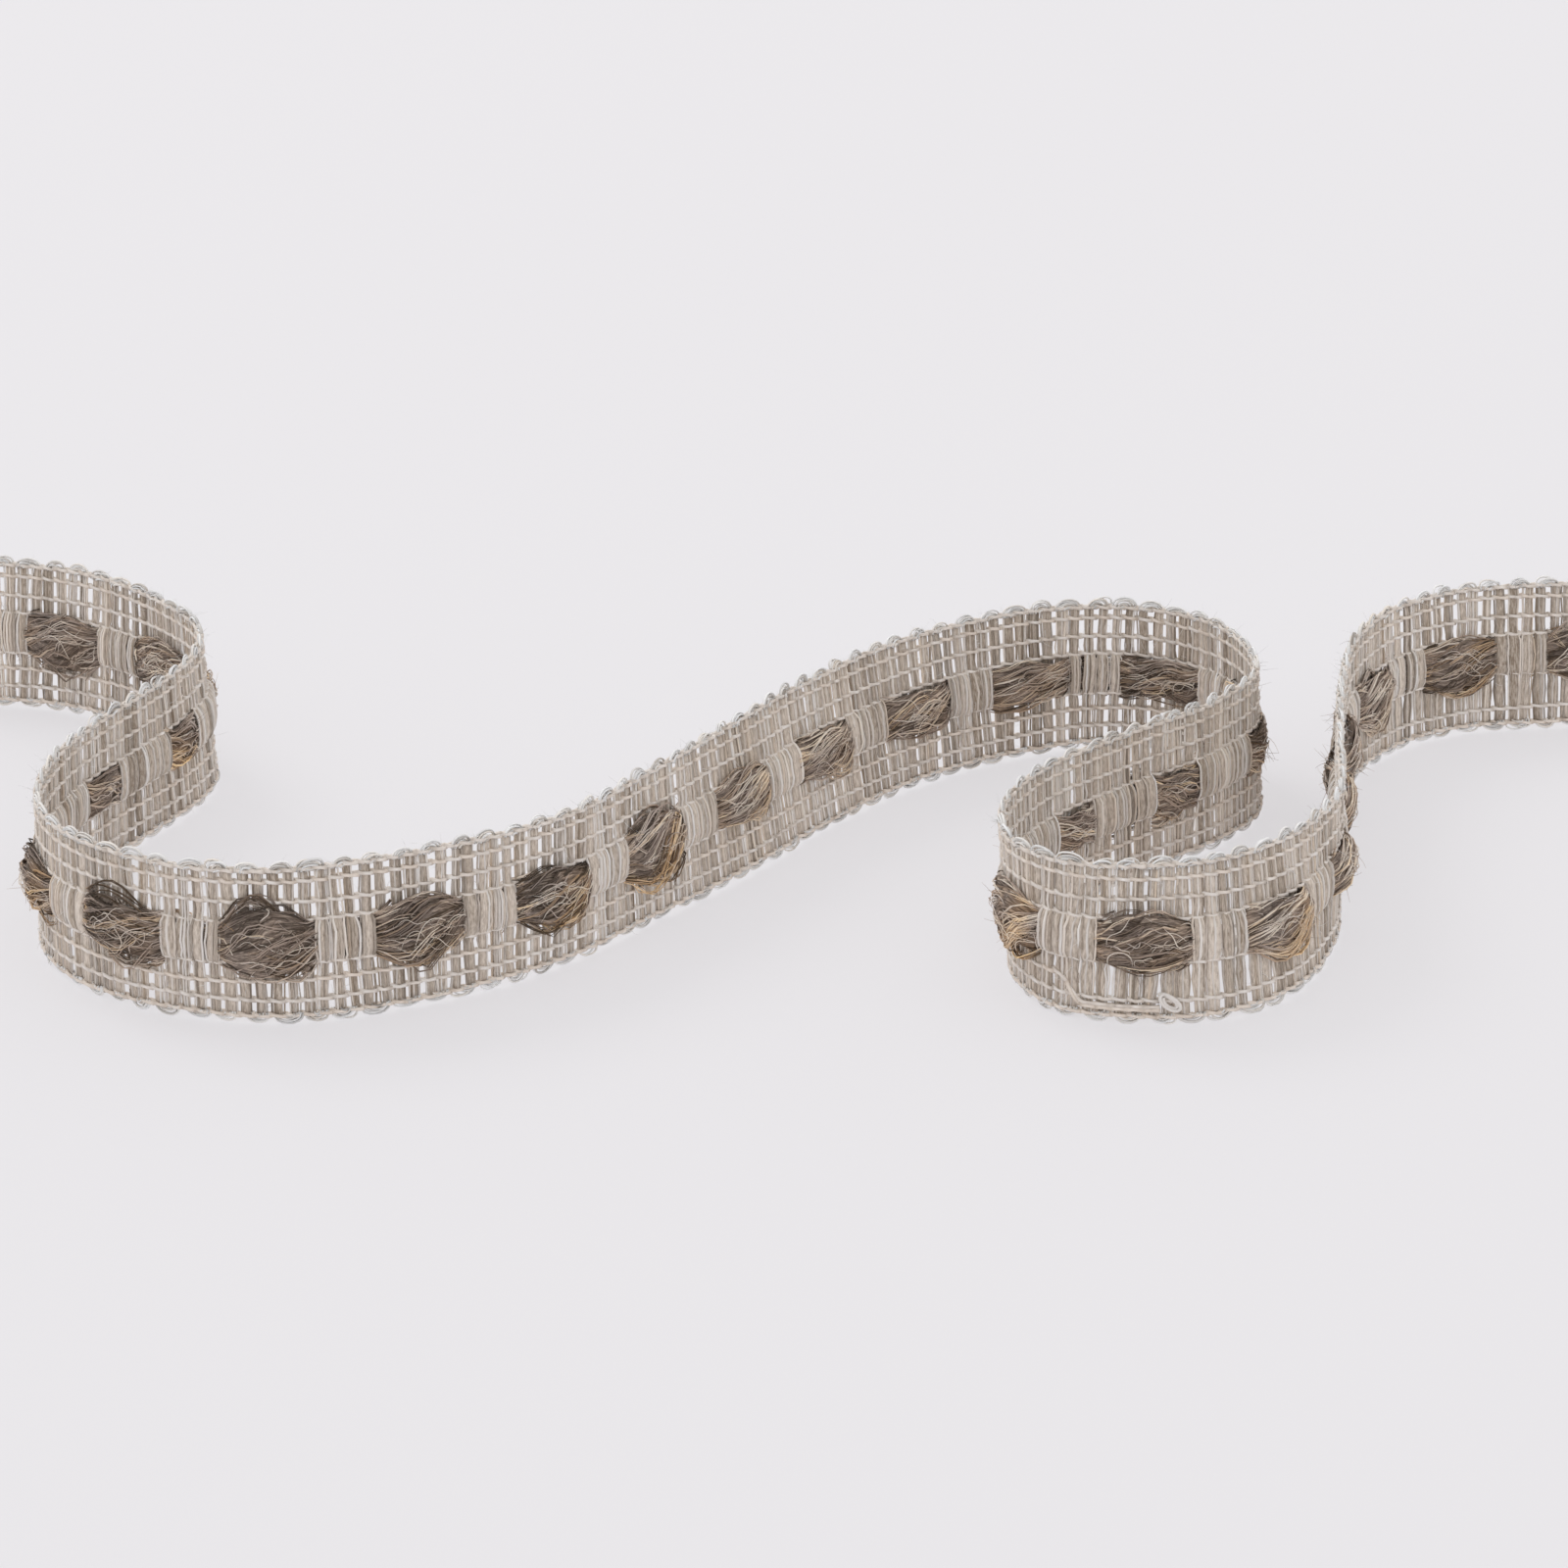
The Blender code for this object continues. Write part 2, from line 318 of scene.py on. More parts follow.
@dataclass(frozen=True)
class YarnFinish:
    """A finish for yarn or fibre, from its shade, warmth and fibre attributes."""

    name: str
    dark: Colour
    middle: Colour
    light: Colour
    warm: Colour
    streaks: float
    streak_length: float
    streaks_across: float
    roughness: float
    bump: float
    sheen: float
    sheen_roughness: float = 0.5
    gloss: float = 0.25
    streak_scale: float = 1.6
    streak_detail: float = 4.0
    streak_roughness: float = 0.65
    bump_height: float = 0.05 * MM

    def material(self) -> bpy.types.Material:
        """Builds the node material.

        Returns:
            A Principled material whose fine streaks run along each yarn.
        """
        constants = {
            "Roughness": self.roughness,
            "Sheen Weight": self.sheen,
            "Sheen Roughness": self.sheen_roughness,
            "Specular IOR Level": self.gloss,
        }
        material, shader = shader_material(self.name, constants)
        nodes, links = material.node_tree.nodes, material.node_tree.links
        shade, warmth, fibre = (nodes.new("ShaderNodeAttribute") for _ in range(3))
        shade.attribute_name = "shade"
        warmth.attribute_name = "warmth"
        fibre.attribute_name = "fibre"

        stretch = nodes.new("ShaderNodeMapping")
        across = self.streaks_across
        stretch.inputs["Scale"].default_value = (1.0 / self.streak_length, across, across)
        links.new(fibre.outputs["Vector"], stretch.inputs["Vector"])
        streak = nodes.new("ShaderNodeTexNoise")
        streak.inputs["Scale"].default_value = self.streak_scale
        streak.inputs["Detail"].default_value = self.streak_detail
        streak.inputs["Roughness"].default_value = self.streak_roughness
        links.new(stretch.outputs["Vector"], streak.inputs["Vector"])

        swing = nodes.new("ShaderNodeMath")
        swing.operation = "MULTIPLY_ADD"
        swing.inputs[1].default_value = self.streaks
        swing.inputs[2].default_value = -self.streaks / 2
        links.new(streak.outputs["Fac"], swing.inputs[0])
        tone = nodes.new("ShaderNodeMath")
        tone.operation = "ADD"
        tone.use_clamp = True
        links.new(shade.outputs["Fac"], tone.inputs[0])
        links.new(swing.outputs["Value"], tone.inputs[1])

        ramp = nodes.new("ShaderNodeValToRGB")
        ramp.color_ramp.elements[0].color = (*self.dark, 1.0)
        ramp.color_ramp.elements[1].color = (*self.light, 1.0)
        ramp.color_ramp.elements.new(0.5).color = (*self.middle, 1.0)
        links.new(tone.outputs["Value"], ramp.inputs["Fac"])

        golden = nodes.new("ShaderNodeMix")
        golden.data_type = "RGBA"
        golden.blend_type = "MULTIPLY"
        golden.inputs["B"].default_value = (*self.warm, 1.0)
        links.new(warmth.outputs["Fac"], golden.inputs["Factor"])
        links.new(ramp.outputs["Color"], golden.inputs["A"])
        links.new(golden.outputs["Result"], shader.inputs["Base Color"])

        bump = nodes.new("ShaderNodeBump")
        bump.inputs["Strength"].default_value = self.bump
        bump.inputs["Distance"].default_value = self.bump_height
        links.new(streak.outputs["Fac"], bump.inputs["Height"])
        links.new(bump.outputs["Normal"], shader.inputs["Normal"])
        return material


@dataclass(frozen=True)
class FloorFinish:
    """The pale surface that the tape stands on."""

    name: str = "pale_surface"
    colour: Colour = (0.25, 0.245, 0.25)
    glow: Colour = (0.555, 0.545, 0.56)
    roughness: float = 0.85
    gloss: float = 0.15

    def material(self) -> bpy.types.Material:
        """Builds the material.

        Returns:
            A plain matt one that glows a little, as a lit paper sweep does.
        """
        constants = {
            "Base Color": (*self.colour, 1.0),
            "Roughness": self.roughness,
            "Specular IOR Level": self.gloss,
            "Emission Color": (*self.glow, 1.0),
            "Emission Strength": 1.0,
        }
        return shader_material(self.name, constants)[0]


WEFT_FINISH = YarnFinish(
    name="linen_weft",
    dark=(0.26, 0.21, 0.165),
    middle=(0.74, 0.682, 0.63),
    light=(0.94, 0.92, 0.90),
    warm=(1.0, 0.90, 0.78),
    streaks=1.3,
    streak_length=1.6,
    streaks_across=2.6,
    roughness=0.8,
    bump=0.8,
    sheen=0.1,
)
WARP_FINISH = YarnFinish(
    name="linen_warp",
    dark=(0.30, 0.245, 0.195),
    middle=(0.76, 0.71, 0.665),
    light=(0.94, 0.92, 0.90),
    warm=(1.0, 0.88, 0.76),
    streaks=0.6,
    streak_length=0.8,
    streaks_across=2.0,
    roughness=0.75,
    bump=0.6,
    sheen=0.1,
)
# The picots are the weft's own turns, yet this finish is paler than the weft's: painted light,
# for light on and through the thin edges. The fuzz takes this finish too.
PICOT_FINISH = YarnFinish(
    name="linen_picot",
    dark=(0.36, 0.32, 0.285),
    middle=(0.84, 0.835, 0.83),
    light=(0.95, 0.95, 0.95),
    warm=(1.0, 0.90, 0.78),
    streaks=0.7,
    streak_length=1.2,
    streaks_across=2.4,
    roughness=0.75,
    bump=0.7,
    sheen=0.2,
)
FIBRE_FINISH = YarnFinish(
    name="jute_fibre",
    dark=(0.10, 0.077, 0.060),
    middle=(0.53, 0.435, 0.385),
    light=(0.93, 0.855, 0.77),
    warm=(1.20, 0.94, 0.56),
    streaks=0.5,
    streak_length=2.0,
    streaks_across=1.2,
    roughness=0.7,
    bump=0.3,
    sheen=0.0,
)
# Painted shade: the core's dark colours stand for the shade deep inside the roving.
CORE_FINISH = YarnFinish(
    name="jute_core",
    dark=(0.045, 0.034, 0.027),
    middle=(0.22, 0.176, 0.150),
    light=(0.60, 0.505, 0.43),
    warm=(1.25, 0.95, 0.6),
    streaks=2.6,
    streak_length=2.5,
    streaks_across=7.0,
    roughness=0.9,
    bump=1.0,
    sheen=0.0,
)


class Strand:
    """A round strand's mesh, from a cone primitive cut into rings."""

    def __init__(self, rings: int, sides: int) -> None:
        """Builds the straight strand.

        Args:
            rings: Number of rings of points along the strand.
            sides: Number of points round it.
        """
        shape = bmesh.new()
        bmesh.ops.create_cone(
            shape, cap_ends=True, segments=sides, radius1=1.0, radius2=1.0, depth=1.0
        )
        lengthwise = [e for e in shape.edges if abs(e.verts[0].co.z - e.verts[1].co.z) > 0.5]
        bmesh.ops.subdivide_edges(shape, edges=lengthwise, cuts=rings - 2, use_grid_fill=True)
        self.ring = np.array([round((v.co.z + 0.5) * (rings - 1)) for v in shape.verts])
        self.angle = np.array([math.atan2(v.co.y, v.co.x) for v in shape.verts])
        self.mesh = bpy.data.meshes.new("strand")
        shape.to_mesh(self.mesh)
        shape.free()

    def copies(self, name: str, count: int) -> bpy.types.Mesh:
        """One mesh of many separate strands.

        Args:
            name: The new mesh's name.
            count: Number of strands.

        Returns:
            The joined mesh, with each strand's points in the strand's own order.
        """
        joined = bmesh.new()
        for _ in range(count):
            joined.from_mesh(self.mesh)
        mesh = bpy.data.meshes.new(name)
        joined.to_mesh(mesh)
        joined.free()
        return mesh


@dataclass
class StrandSet:
    """Many strands that share one number of rings.

    centres holds a flat point for each strand and ring, radius and shade a value for each, and
    warmth the same. flat_ratio widens a strand sideways and thins it the other way. A strand that
    runs nearly straight out of the cloth, by steep, takes its sideways direction from spare.
    """

    name: str
    centres: np.ndarray
    radius: np.ndarray
    shade: np.ndarray
    warmth: np.ndarray | None = None
    sides: int = 4
    flat_ratio: float = 1.0
    turn: float = math.pi / 4
    steep: float = 0.15
    spare: Point = (1.0, 0.3, 0.0)
    streak_starts: float = 900.0

    def flat_points(self, strand: Strand) -> np.ndarray:
        """Points on the strands' skins.

        Args:
            strand: The strand that the set's copies are made from.

        Returns:
            Flat points, with one row of points for each strand.
        """
        along = np.gradient(self.centres, axis=1)
        along /= np.linalg.norm(along, axis=2, keepdims=True) + TINY
        side = np.cross(along, (0.0, 0.0, 1.0))
        outward = np.linalg.norm(side, axis=2, keepdims=True) < self.steep
        side = np.where(outward, np.cross(along, self.spare), side)
        side /= np.linalg.norm(side, axis=2, keepdims=True) + TINY
        lift = np.cross(along, side)
        ring, angle = strand.ring, strand.angle + self.turn
        radius = self.radius[:, ring, None]
        wide = radius * np.cos(angle)[None, :, None] * self.flat_ratio
        high = radius * np.sin(angle)[None, :, None] / self.flat_ratio
        return self.centres[:, ring] + wide * side[:, ring] + high * lift[:, ring]

    def build(self, trim: Trim, rng: np.random.Generator) -> bpy.types.Object:
        """Makes the set one object, laid along the route.

        Args:
            trim: The trim, which places flat points.
            rng: Source of the strands' own random numbers.

        Returns:
            The new object, with its shade, warmth and fibre attributes.
        """
        count, rings = self.centres.shape[:2]
        strand = Strand(rings, self.sides)
        mesh = strand.copies(self.name, count)
        flat = self.flat_points(strand)
        mesh.vertices.foreach_set("co", trim.place(flat.reshape(-1, 3)).ravel())

        steps = np.linalg.norm(np.diff(self.centres, axis=1), axis=2)
        reached = np.concatenate([np.zeros((count, 1)), np.cumsum(steps, axis=1)], axis=1)
        own = rng.uniform(0.0, self.streak_starts, (count, 1))
        angle = np.broadcast_to(strand.angle, (count, len(strand.angle)))
        fibre = np.stack([(reached + own)[:, strand.ring], np.cos(angle), np.sin(angle)], axis=-1)
        for name, value in (("shade", self.shade), ("warmth", self.warmth)):
            filled = np.zeros((count, rings)) if value is None else value
            layer = mesh.attributes.new(name, "FLOAT", "POINT")
            layer.data.foreach_set("value", np.ascontiguousarray(filled[:, strand.ring]).ravel())
        layer = mesh.attributes.new("fibre", "FLOAT_VECTOR", "POINT")
        layer.data.foreach_set("vector", fibre.ravel())
        mesh.shade_smooth()
        mesh.update()
        bpy.data.meshes.remove(strand.mesh)
        piece = bpy.data.objects.new(self.name, mesh)
        bpy.context.scene.collection.objects.link(piece)
        return piece


def smoothstep(value: np.ndarray, low: float, high: float) -> np.ndarray:
    """Eases from 0 at low to 1 at high.

    Args:
        value: Where to evaluate it.
        low: Value at which the result starts to rise.
        high: Value at which it has reached 1.

    Returns:
        The eased shares.
    """
    share = np.clip((value - low) / (high - low), 0.0, 1.0)
    return share * share * (3.0 - 2.0 * share)


def wander(
    rng: np.random.Generator, s: np.ndarray, strands: int, size: float, wavelength: float
) -> np.ndarray:
    """A smooth random drift for each of a number of strands.

    Args:
        rng: Source of random numbers.
        s: Places along the strands, in one row for all or one for each.
        strands: Number of strands.
        size: How far the drift goes, roughly.
        wavelength: Typical length between its swings.

    Returns:
        Offsets, one row for each strand.
    """
    places = np.broadcast_to(s, (strands, s.shape[-1]))
    total = np.zeros_like(places, dtype=float)
    for octave in (0.6, 1.0, 1.7):
        phase = rng.uniform(0.0, math.tau, (strands, 1))
        rate = math.tau * octave / wavelength * rng.uniform(0.8, 1.2, (strands, 1))
        total += np.sin(places * rate + phase) / octave
    return total * size / 2.0


@dataclass
class Piece:
    """What every visible piece of the trim has."""

    trim: Trim
    rng: np.random.Generator

    def make(self, strands: StrandSet, finish: YarnFinish, slot: Slot) -> bpy.types.Object:
        """Makes a piece from its strands, gives it its finish and says what it rides on.

        Args:
            strands: The strands.
            finish: Their finish.
            slot: Not used.

        Returns:
            The dressed piece.
        """
        piece = strands.build(self.trim, self.rng)
        piece.data.materials.append(finish.material())
        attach(piece, "root")
        return piece


@dataclass
class Weft(Piece):
    """Bundles of fine linen yarn that run straight across the tape."""

    yarns: int = 5
    yarn_radius: float = 0.135
    yarn_spacing: float = 0.272
    layer_depth: float = 0.21
    over_spread: float = 0.40
    over_swell: float = 0.22
    unbound_spread: float = 0.20
    behind_depth: float = -0.80
    over_height: float = 0.72
    half_band: float = 2.75
    band_power: float = 3.0
    band_ease: float = 0.6
    heart_radius: float = 0.31
    # How far bundles stand off their places, slope across the tape and drift, how the slope
    # swings from one to the next, and how far the yarns stand off, slope and lift.
    bundle_off: float = 0.07
    bundle_slope: float = 0.012
    slope_swing: float = 0.21
    drift: Span = (0.07, 9.0)
    yarn_off: float = 0.05
    yarn_slope: float = 0.014
    yarn_lift: float = 0.02
    # An edge yarn lies nearer to the middle of its bundle's depth. A bound bundle is flatter, and
    # a full one spreads less where it leaves the cloth's plane.
    edge_yarn: float = 0.6
    bound_flatter: float = 0.4
    full_spreads_less: float = 0.8
    uneven_width: float = 0.07
    uneven_yarn: float = 0.12
    bound_reach: Span = (0.1, 0.9)
    # Tones: a mean and a spread for the yarns, a spread for bundles, and what is added over the
    # band, under a warp line and towards the picots. What goes under a warp line is painted
    # shade, and what goes towards the picots is painted light.
    yarn_tone: Span = (0.5, 0.22)
    bundle_tone: float = 0.06
    over_tone: float = 0.05
    line_painted_shade: float = -0.06
    edge_painted_light: float = 0.12
    edge_starts: Span = (7.5, 9.3)
    yarn_warmth: Span = (0.25, 0.3)
    # The hearts' dark tone is painted shade between the yarns.
    heart_painted_shade: Span = (0.32, 0.08)
    heart_warmth: float = 0.5
    # How full the bundles are, and how much paler than the rest, at places counted in repeats.
    # A fuller bundle nearly closes the windows beside it. The paleness is partly the linen's own
    # tone and partly painted light: it is greatest round 11 to 14 repeats, where the inner run
    # stands in shade, in place of the light bounced into it.
    looks: tuple[tuple[float, float, float], ...] = (
        *((-6.0, 1.10, -0.06), (-4.7, 1.12, -0.06), (-4.2, 1.22, 0.0), (0.6, 1.22, 0.0)),
        *((1.2, 1.11, -0.12), (2.2, 1.11, -0.12), (3.6, 1.11, 0.03), (4.5, 1.24, 0.05)),
        *((6.8, 1.28, 0.16), (7.5, 1.20, 0.08), (8.5, 1.12, -0.08), (10.1, 1.12, -0.10)),
        *((11.0, 1.26, 0.22), (13.8, 1.26, 0.20), (15.3, 1.26, 0.06), (16.2, 1.26, -0.10)),
        *((17.5, 1.28, 0.14), (21.3, 1.22, 0.0), (22.0, 1.15, -0.10), (23.5, 1.12, -0.12)),
    )
    stations: tuple[float, ...] = (
        *(-8.95, -6.85, -4.5, -3.2, -2.5, -2.1, -1.6, -0.8),
        *(0.4, 1.6, 2.3, 2.8, 3.2, 4.2, 5.5, 8.0, 9.55),
    )

    def band_share(self, w: np.ndarray) -> np.ndarray:
        """How far a bundle has left the cloth's plane, from 0 at the band's edges to 1."""
        off = np.abs(w - WEAVE.band_middle) / self.half_band
        return np.clip(1.0 - off**self.band_power, 0.0, 1.0) ** self.band_ease

    def strands(self) -> StrandSet:
        """Works out every yarn of every bundle.

        Returns:
            The set, with the yarns of one bundle next to each other.
        """
        rng, count = self.rng, WEAVE.bundles
        w = np.array(self.stations)
        bundle = np.arange(count)
        over = np.isin(bundle % WEAVE.bundles_in_repeat, WEAVE.bundles_over)[:, None]
        inside = self.band_share(w)[None, :]

        middle = (bundle + 0.5) * WEAVE.pitch + rng.normal(0.0, self.bundle_off, count)
        swing = self.bundle_slope * np.sin(bundle * self.slope_swing)
        tilt = rng.normal(0.0, self.bundle_slope, count) + swing
        line = middle[:, None] + tilt[:, None] * w[None, :] + wander(rng, w, count, *self.drift)
        places, shares, tones = np.array(self.looks).T
        repeats = WEAVE.in_repeats(middle)
        full = np.interp(repeats, places, shares)[:, None]
        less = 1.0 - self.full_spreads_less * (full - 1.0)
        spread = full * (1.0 + self.over_spread * inside * less)
        spread = spread * (1.0 + rng.normal(0.0, self.uneven_width, (count, 1)))
        spread = spread * (1.0 + self.unbound_spread * self.unbound(middle, w))
        depth = np.where(over, self.over_height, self.behind_depth) * inside
        loose = 1.0 - self.bound_flatter * self.near_line(w)[None, :]

        offsets = (np.arange(self.yarns) - (self.yarns - 1) / 2) * self.yarn_spacing
        centres = np.empty((count, self.yarns, len(w), 3))
        for yarn, offset in enumerate(offsets):
            cross = rng.normal(0.0, self.yarn_slope, (count, 1)) * w[None, :]
            shake = rng.normal(0.0, self.yarn_off, (count, len(w)))
            centres[:, yarn, :, 0] = line + offset * spread + cross + shake
            centres[:, yarn, :, 1] = w
            nearer = self.edge_yarn if yarn in (0, self.yarns - 1) else 1.0
            face = rng.choice([-1.0, 1.0], (count, 1)) * nearer
            layer = self.layer_depth * face + rng.normal(0.0, self.yarn_off, (count, 1))
            lift = rng.normal(0.0, self.yarn_lift, (count, len(w)))
            centres[:, yarn, :, 2] = depth + layer * loose + lift
        self.hearts = np.stack([line, np.broadcast_to(w, line.shape), depth], axis=-1)
        self.heart_widths = self.heart_radius * spread
        strands = count * self.yarns
        swell = np.sqrt(full) * (1.0 + self.over_swell * inside)
        radius = self.yarn_radius * swell[:, None, :]
        radius = np.broadcast_to(radius, (count, self.yarns, len(w))).reshape(strands, -1)
        radius = radius * (1.0 + rng.normal(0.0, self.uneven_yarn, (strands, 1)))
        shade = rng.normal(0.0, self.bundle_tone, (count, 1, 1))
        shade = shade + rng.normal(*self.yarn_tone, (count, self.yarns, 1))
        shade = shade + self.over_tone * (over * inside)[:, None, :]
        # Painted shade: darker under a warp line.
        shade = shade + self.line_painted_shade * self.near_line(w)
        # Painted light: paler towards both edges, for light on and through the thin edges.
        shade = shade + self.edge_painted_light * smoothstep(abs(w), *self.edge_starts)
        # Partly painted light: paler where the tape's inner run stands in shade.
        shade = shade + np.interp(repeats, places, tones)[:, None, None]
        warmth = np.clip(rng.normal(*self.yarn_warmth, (count, self.yarns, 1)), 0, 1)
        warmth = np.broadcast_to(warmth, shade.shape)
        return StrandSet(
            name="weft",
            centres=centres.reshape(strands, len(w), 3),
            radius=radius,
            shade=shade.reshape(strands, -1),
            warmth=warmth.reshape(strands, -1),
        )

    def unbound(self, s: np.ndarray, w: np.ndarray) -> np.ndarray:
        """How free bundles are where the failed warp line is missing.

        Args:
            s: The bundles' places along the tape.
            w: Heights across it.

        Returns:
            Shares from 0 to 1, one row for each bundle.
        """
        missing = Warp.lines[Warp.fault_line]
        row = np.clip(1.0 - np.abs(w - missing) / Warp.row, 0.0, 1.0)
        return (s > WEAVE.at_repeat(Warp.fault_laid))[:, None] * row[None, :]

    def near_line(self, w: np.ndarray) -> np.ndarray:
        """How closely the nearest warp line binds a bundle.

        Args:
            w: Heights across the tape.

        Returns:
            1 at a line, falling to 0 half way to the next.
        """
        lines = np.array([*Warp.lines, *Warp.selvedges])
        nearest = np.abs(w[:, None] - lines[None, :]).min(axis=1)
        return 1.0 - smoothstep(nearest, *self.bound_reach)

    def heart_strands(self) -> StrandSet:
        """The flat inner yarn of every bundle, which the others lie round. It is painted dark, as
        painted shade between the yarns.

        Returns:
            The set of inner yarns, along the lines that strands() has worked out.
        """
        shape = self.hearts.shape[:2]
        # Painted shade: the hearts are dark, for the shade between the yarns.
        mean, uneven = self.heart_painted_shade
        return StrandSet(
            name="weft_hearts",
            centres=self.hearts,
            radius=self.heart_widths,
            shade=mean + self.rng.normal(0.0, uneven, (shape[0], 1)) * np.ones(shape),
            warmth=np.full(shape, self.heart_warmth),
            flat_ratio=2.0,
        )

    def build(self) -> list[bpy.types.Object]:
        """Makes the weft, which stands for the woven ground.

        Returns:
            The dressed pieces, the outer yarns first.
        """
        outer = self.make(self.strands(), WEFT_FINISH, Slot.LINEN)
        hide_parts("woven_ground")
        return [outer, self.make(self.heart_strands(), WEFT_FINISH, Slot.LINEN)]


@dataclass
class Warp(Piece):
    """Six lines of two warp ends, twisted round every bundle, and one line at each edge."""

    lines: tuple[float, ...] = (8.0, 5.5, 3.0, -2.25, -4.5, -6.85)
    selvedges: Span = (9.50, -8.80)
    row: float = 2.3
    radius: float = 0.205
    swell: float = 0.55
    swing_out: float = 0.34
    swing_across: float = 0.10
    swing_power: float = 0.6
    flat_ratio: float = 1.1
    # Rings to a bundle, as shares of its pitch.
    ring_shares: tuple[float, ...] = (0.0, 0.24, 0.5, 0.76)
    # How lines drift, and how far ends stand off their places along and across the tape.
    drift: Span = (0.10, 23.0)
    off_along: float = 0.04
    off_across: float = 0.025
    uneven: float = 0.06
    # Tone inside the twist, what the outer side adds, its spread, and the range of warmth. The
    # ends are painted darker inside the twist, where they cross between bundles in shade, and
    # painted lighter on the outer side, where light falls on them.
    tone: float = 0.40
    outer_painted_light: float = 0.24
    tone_spread: float = 0.12
    warmth: Span = (0.1, 0.6)
    # The line that fails, where it leaves its row, where it lies straight, and where it ends.
    fault_line: int = 4
    fault_starts: float = 15.44
    fault_laid: float = 15.62
    fault_ends: float = 16.1
    fault_drop: float = -3.2
    # How high its two ends lie over the cloth there, and how far to both sides of their row.
    fault_height: float = 0.52
    fault_apart: float = 0.2
    # The knot's loops: size, height over the cloth, and the angle at which each starts.
    loops: tuple[tuple[float, float, float], ...] = ((1.2, 0.80, 2.8), (0.85, 0.66, 3.4))
    loop_turns: float = 1.1
    loop_rings: int = 26
    loop_middle: Span = (0.9, 0.75)
    loop_drift: float = 0.3
    loop_tall: float = 0.75
    loop_lean: float = 0.55
    loop_wave: float = 0.25
    loop_radius: float = 0.2
    loop_tone: float = 0.62

    def stations(self, last: float) -> np.ndarray:
        """Places of the rings along a warp end.

        Args:
            last: How far along the tape the end runs.

        Returns:
            Lengths along the tape, the same number of them to each bundle.
        """
        within = np.array(self.ring_shares)
        bundles = np.arange(round(last / WEAVE.pitch))
        places = (bundles[:, None] + within[None, :]).ravel()
        return np.append(places, len(bundles)) * WEAVE.pitch

    def ends(self, name: str, lines: tuple[float, ...], last: float) -> StrandSet:
        """Works out the two ends of each of some lines.

        Args:
            name: Name of the piece.
            lines: Heights of the lines.
            last: How far along the tape they run.

        Returns:
            The set of ends.
        """
        rng = self.rng
        s = self.stations(last)
        theta = s / WEAVE.pitch * math.pi - math.pi / 2
        rows, shades, warm, widths = [], [], [], []
        for height in lines:
            path = height + wander(rng, s, 1, *self.drift)[0]
            fault = np.zeros(len(s))
            if height == self.lines[self.fault_line]:
                leaves, laid = (WEAVE.at_repeat(r) for r in (self.fault_starts, self.fault_laid))
                fault = smoothstep(s, leaves, laid)
                path = path + self.fault_drop * fault
            for start in (0.0, math.pi):
                turn = np.cos(theta + start)
                out = np.sign(turn) * np.abs(turn) ** self.swing_power * self.swing_out
                out = out + fault * (self.fault_height - out)
                shake = rng.normal(0.0, self.off_across, len(s))
                across = -np.sin(theta + start) * self.swing_across + shake
                across = across * (1.0 - fault) + fault * self.fault_apart * math.cos(start)
                along = s + rng.normal(0.0, self.off_along, len(s))
                rows.append(np.column_stack([along, path + across, out]))
                # Painted shade and light: darker inside the twist, lighter on a bundle's outer
                # side.
                tone = self.tone + self.outer_painted_light * np.abs(turn)
                shades.append(tone + rng.normal(0.0, self.tone_spread, len(s)))
                warm.append(np.full(len(s), rng.uniform(*self.warmth)))
                widths.append(self.radius * (1.0 + self.swell * (1.0 - np.abs(turn))))
        centres = np.array(rows)
        radius = np.array(widths) * (1.0 + rng.normal(0.0, self.uneven, centres.shape[:2]))
        return StrandSet(
            name=name,
            centres=centres,
            radius=radius,
            shade=np.array(shades),
            warmth=np.array(warm),
            flat_ratio=self.flat_ratio,
        )

    def knot(self) -> StrandSet:
        """The loose loop in which the failed warp line ends.

        Returns:
            A set of two small loops of the same yarn.
        """
        t = np.linspace(0.0, 1.0, self.loop_rings)
        middle_s = WEAVE.at_repeat(self.fault_ends) + self.loop_middle[0]
        middle_w = self.lines[self.fault_line] + self.fault_drop + self.loop_middle[1]
        rows = []
        for size, lift, start in self.loops:
            angle = start - t * math.tau * self.loop_turns
            s = middle_s + size * np.cos(angle) + self.loop_drift * t
            w = middle_w + self.loop_tall * size * np.sin(angle)
            w = w - self.loop_lean * size * np.cos(angle)
            n = lift + self.loop_wave * np.sin(angle * 1.5)
            rows.append(np.column_stack([s, w, n]))
        centres = np.array(rows)
        return StrandSet(
            name="warp_loop",
            centres=centres,
            radius=np.full(centres.shape[:2], self.loop_radius),
            shade=np.full(centres.shape[:2], self.loop_tone),
            sides=6,
        )

    def build(self) -> list[bpy.types.Object]:
        """Makes the warp ends and the loose loop.

        Returns:
            The dressed pieces.
        """
        whole = tuple(h for i, h in enumerate(self.lines) if i != self.fault_line)
        ending = WEAVE.at_repeat(self.fault_ends)
        sets = (
            self.ends("warp_lines", whole + self.selvedges, WEAVE.length),
            self.ends("warp_line_ending", (self.lines[self.fault_line],), ending),
            self.knot(),
        )
        return [self.make(strands, WARP_FINISH, Slot.LINEN) for strands in sets]


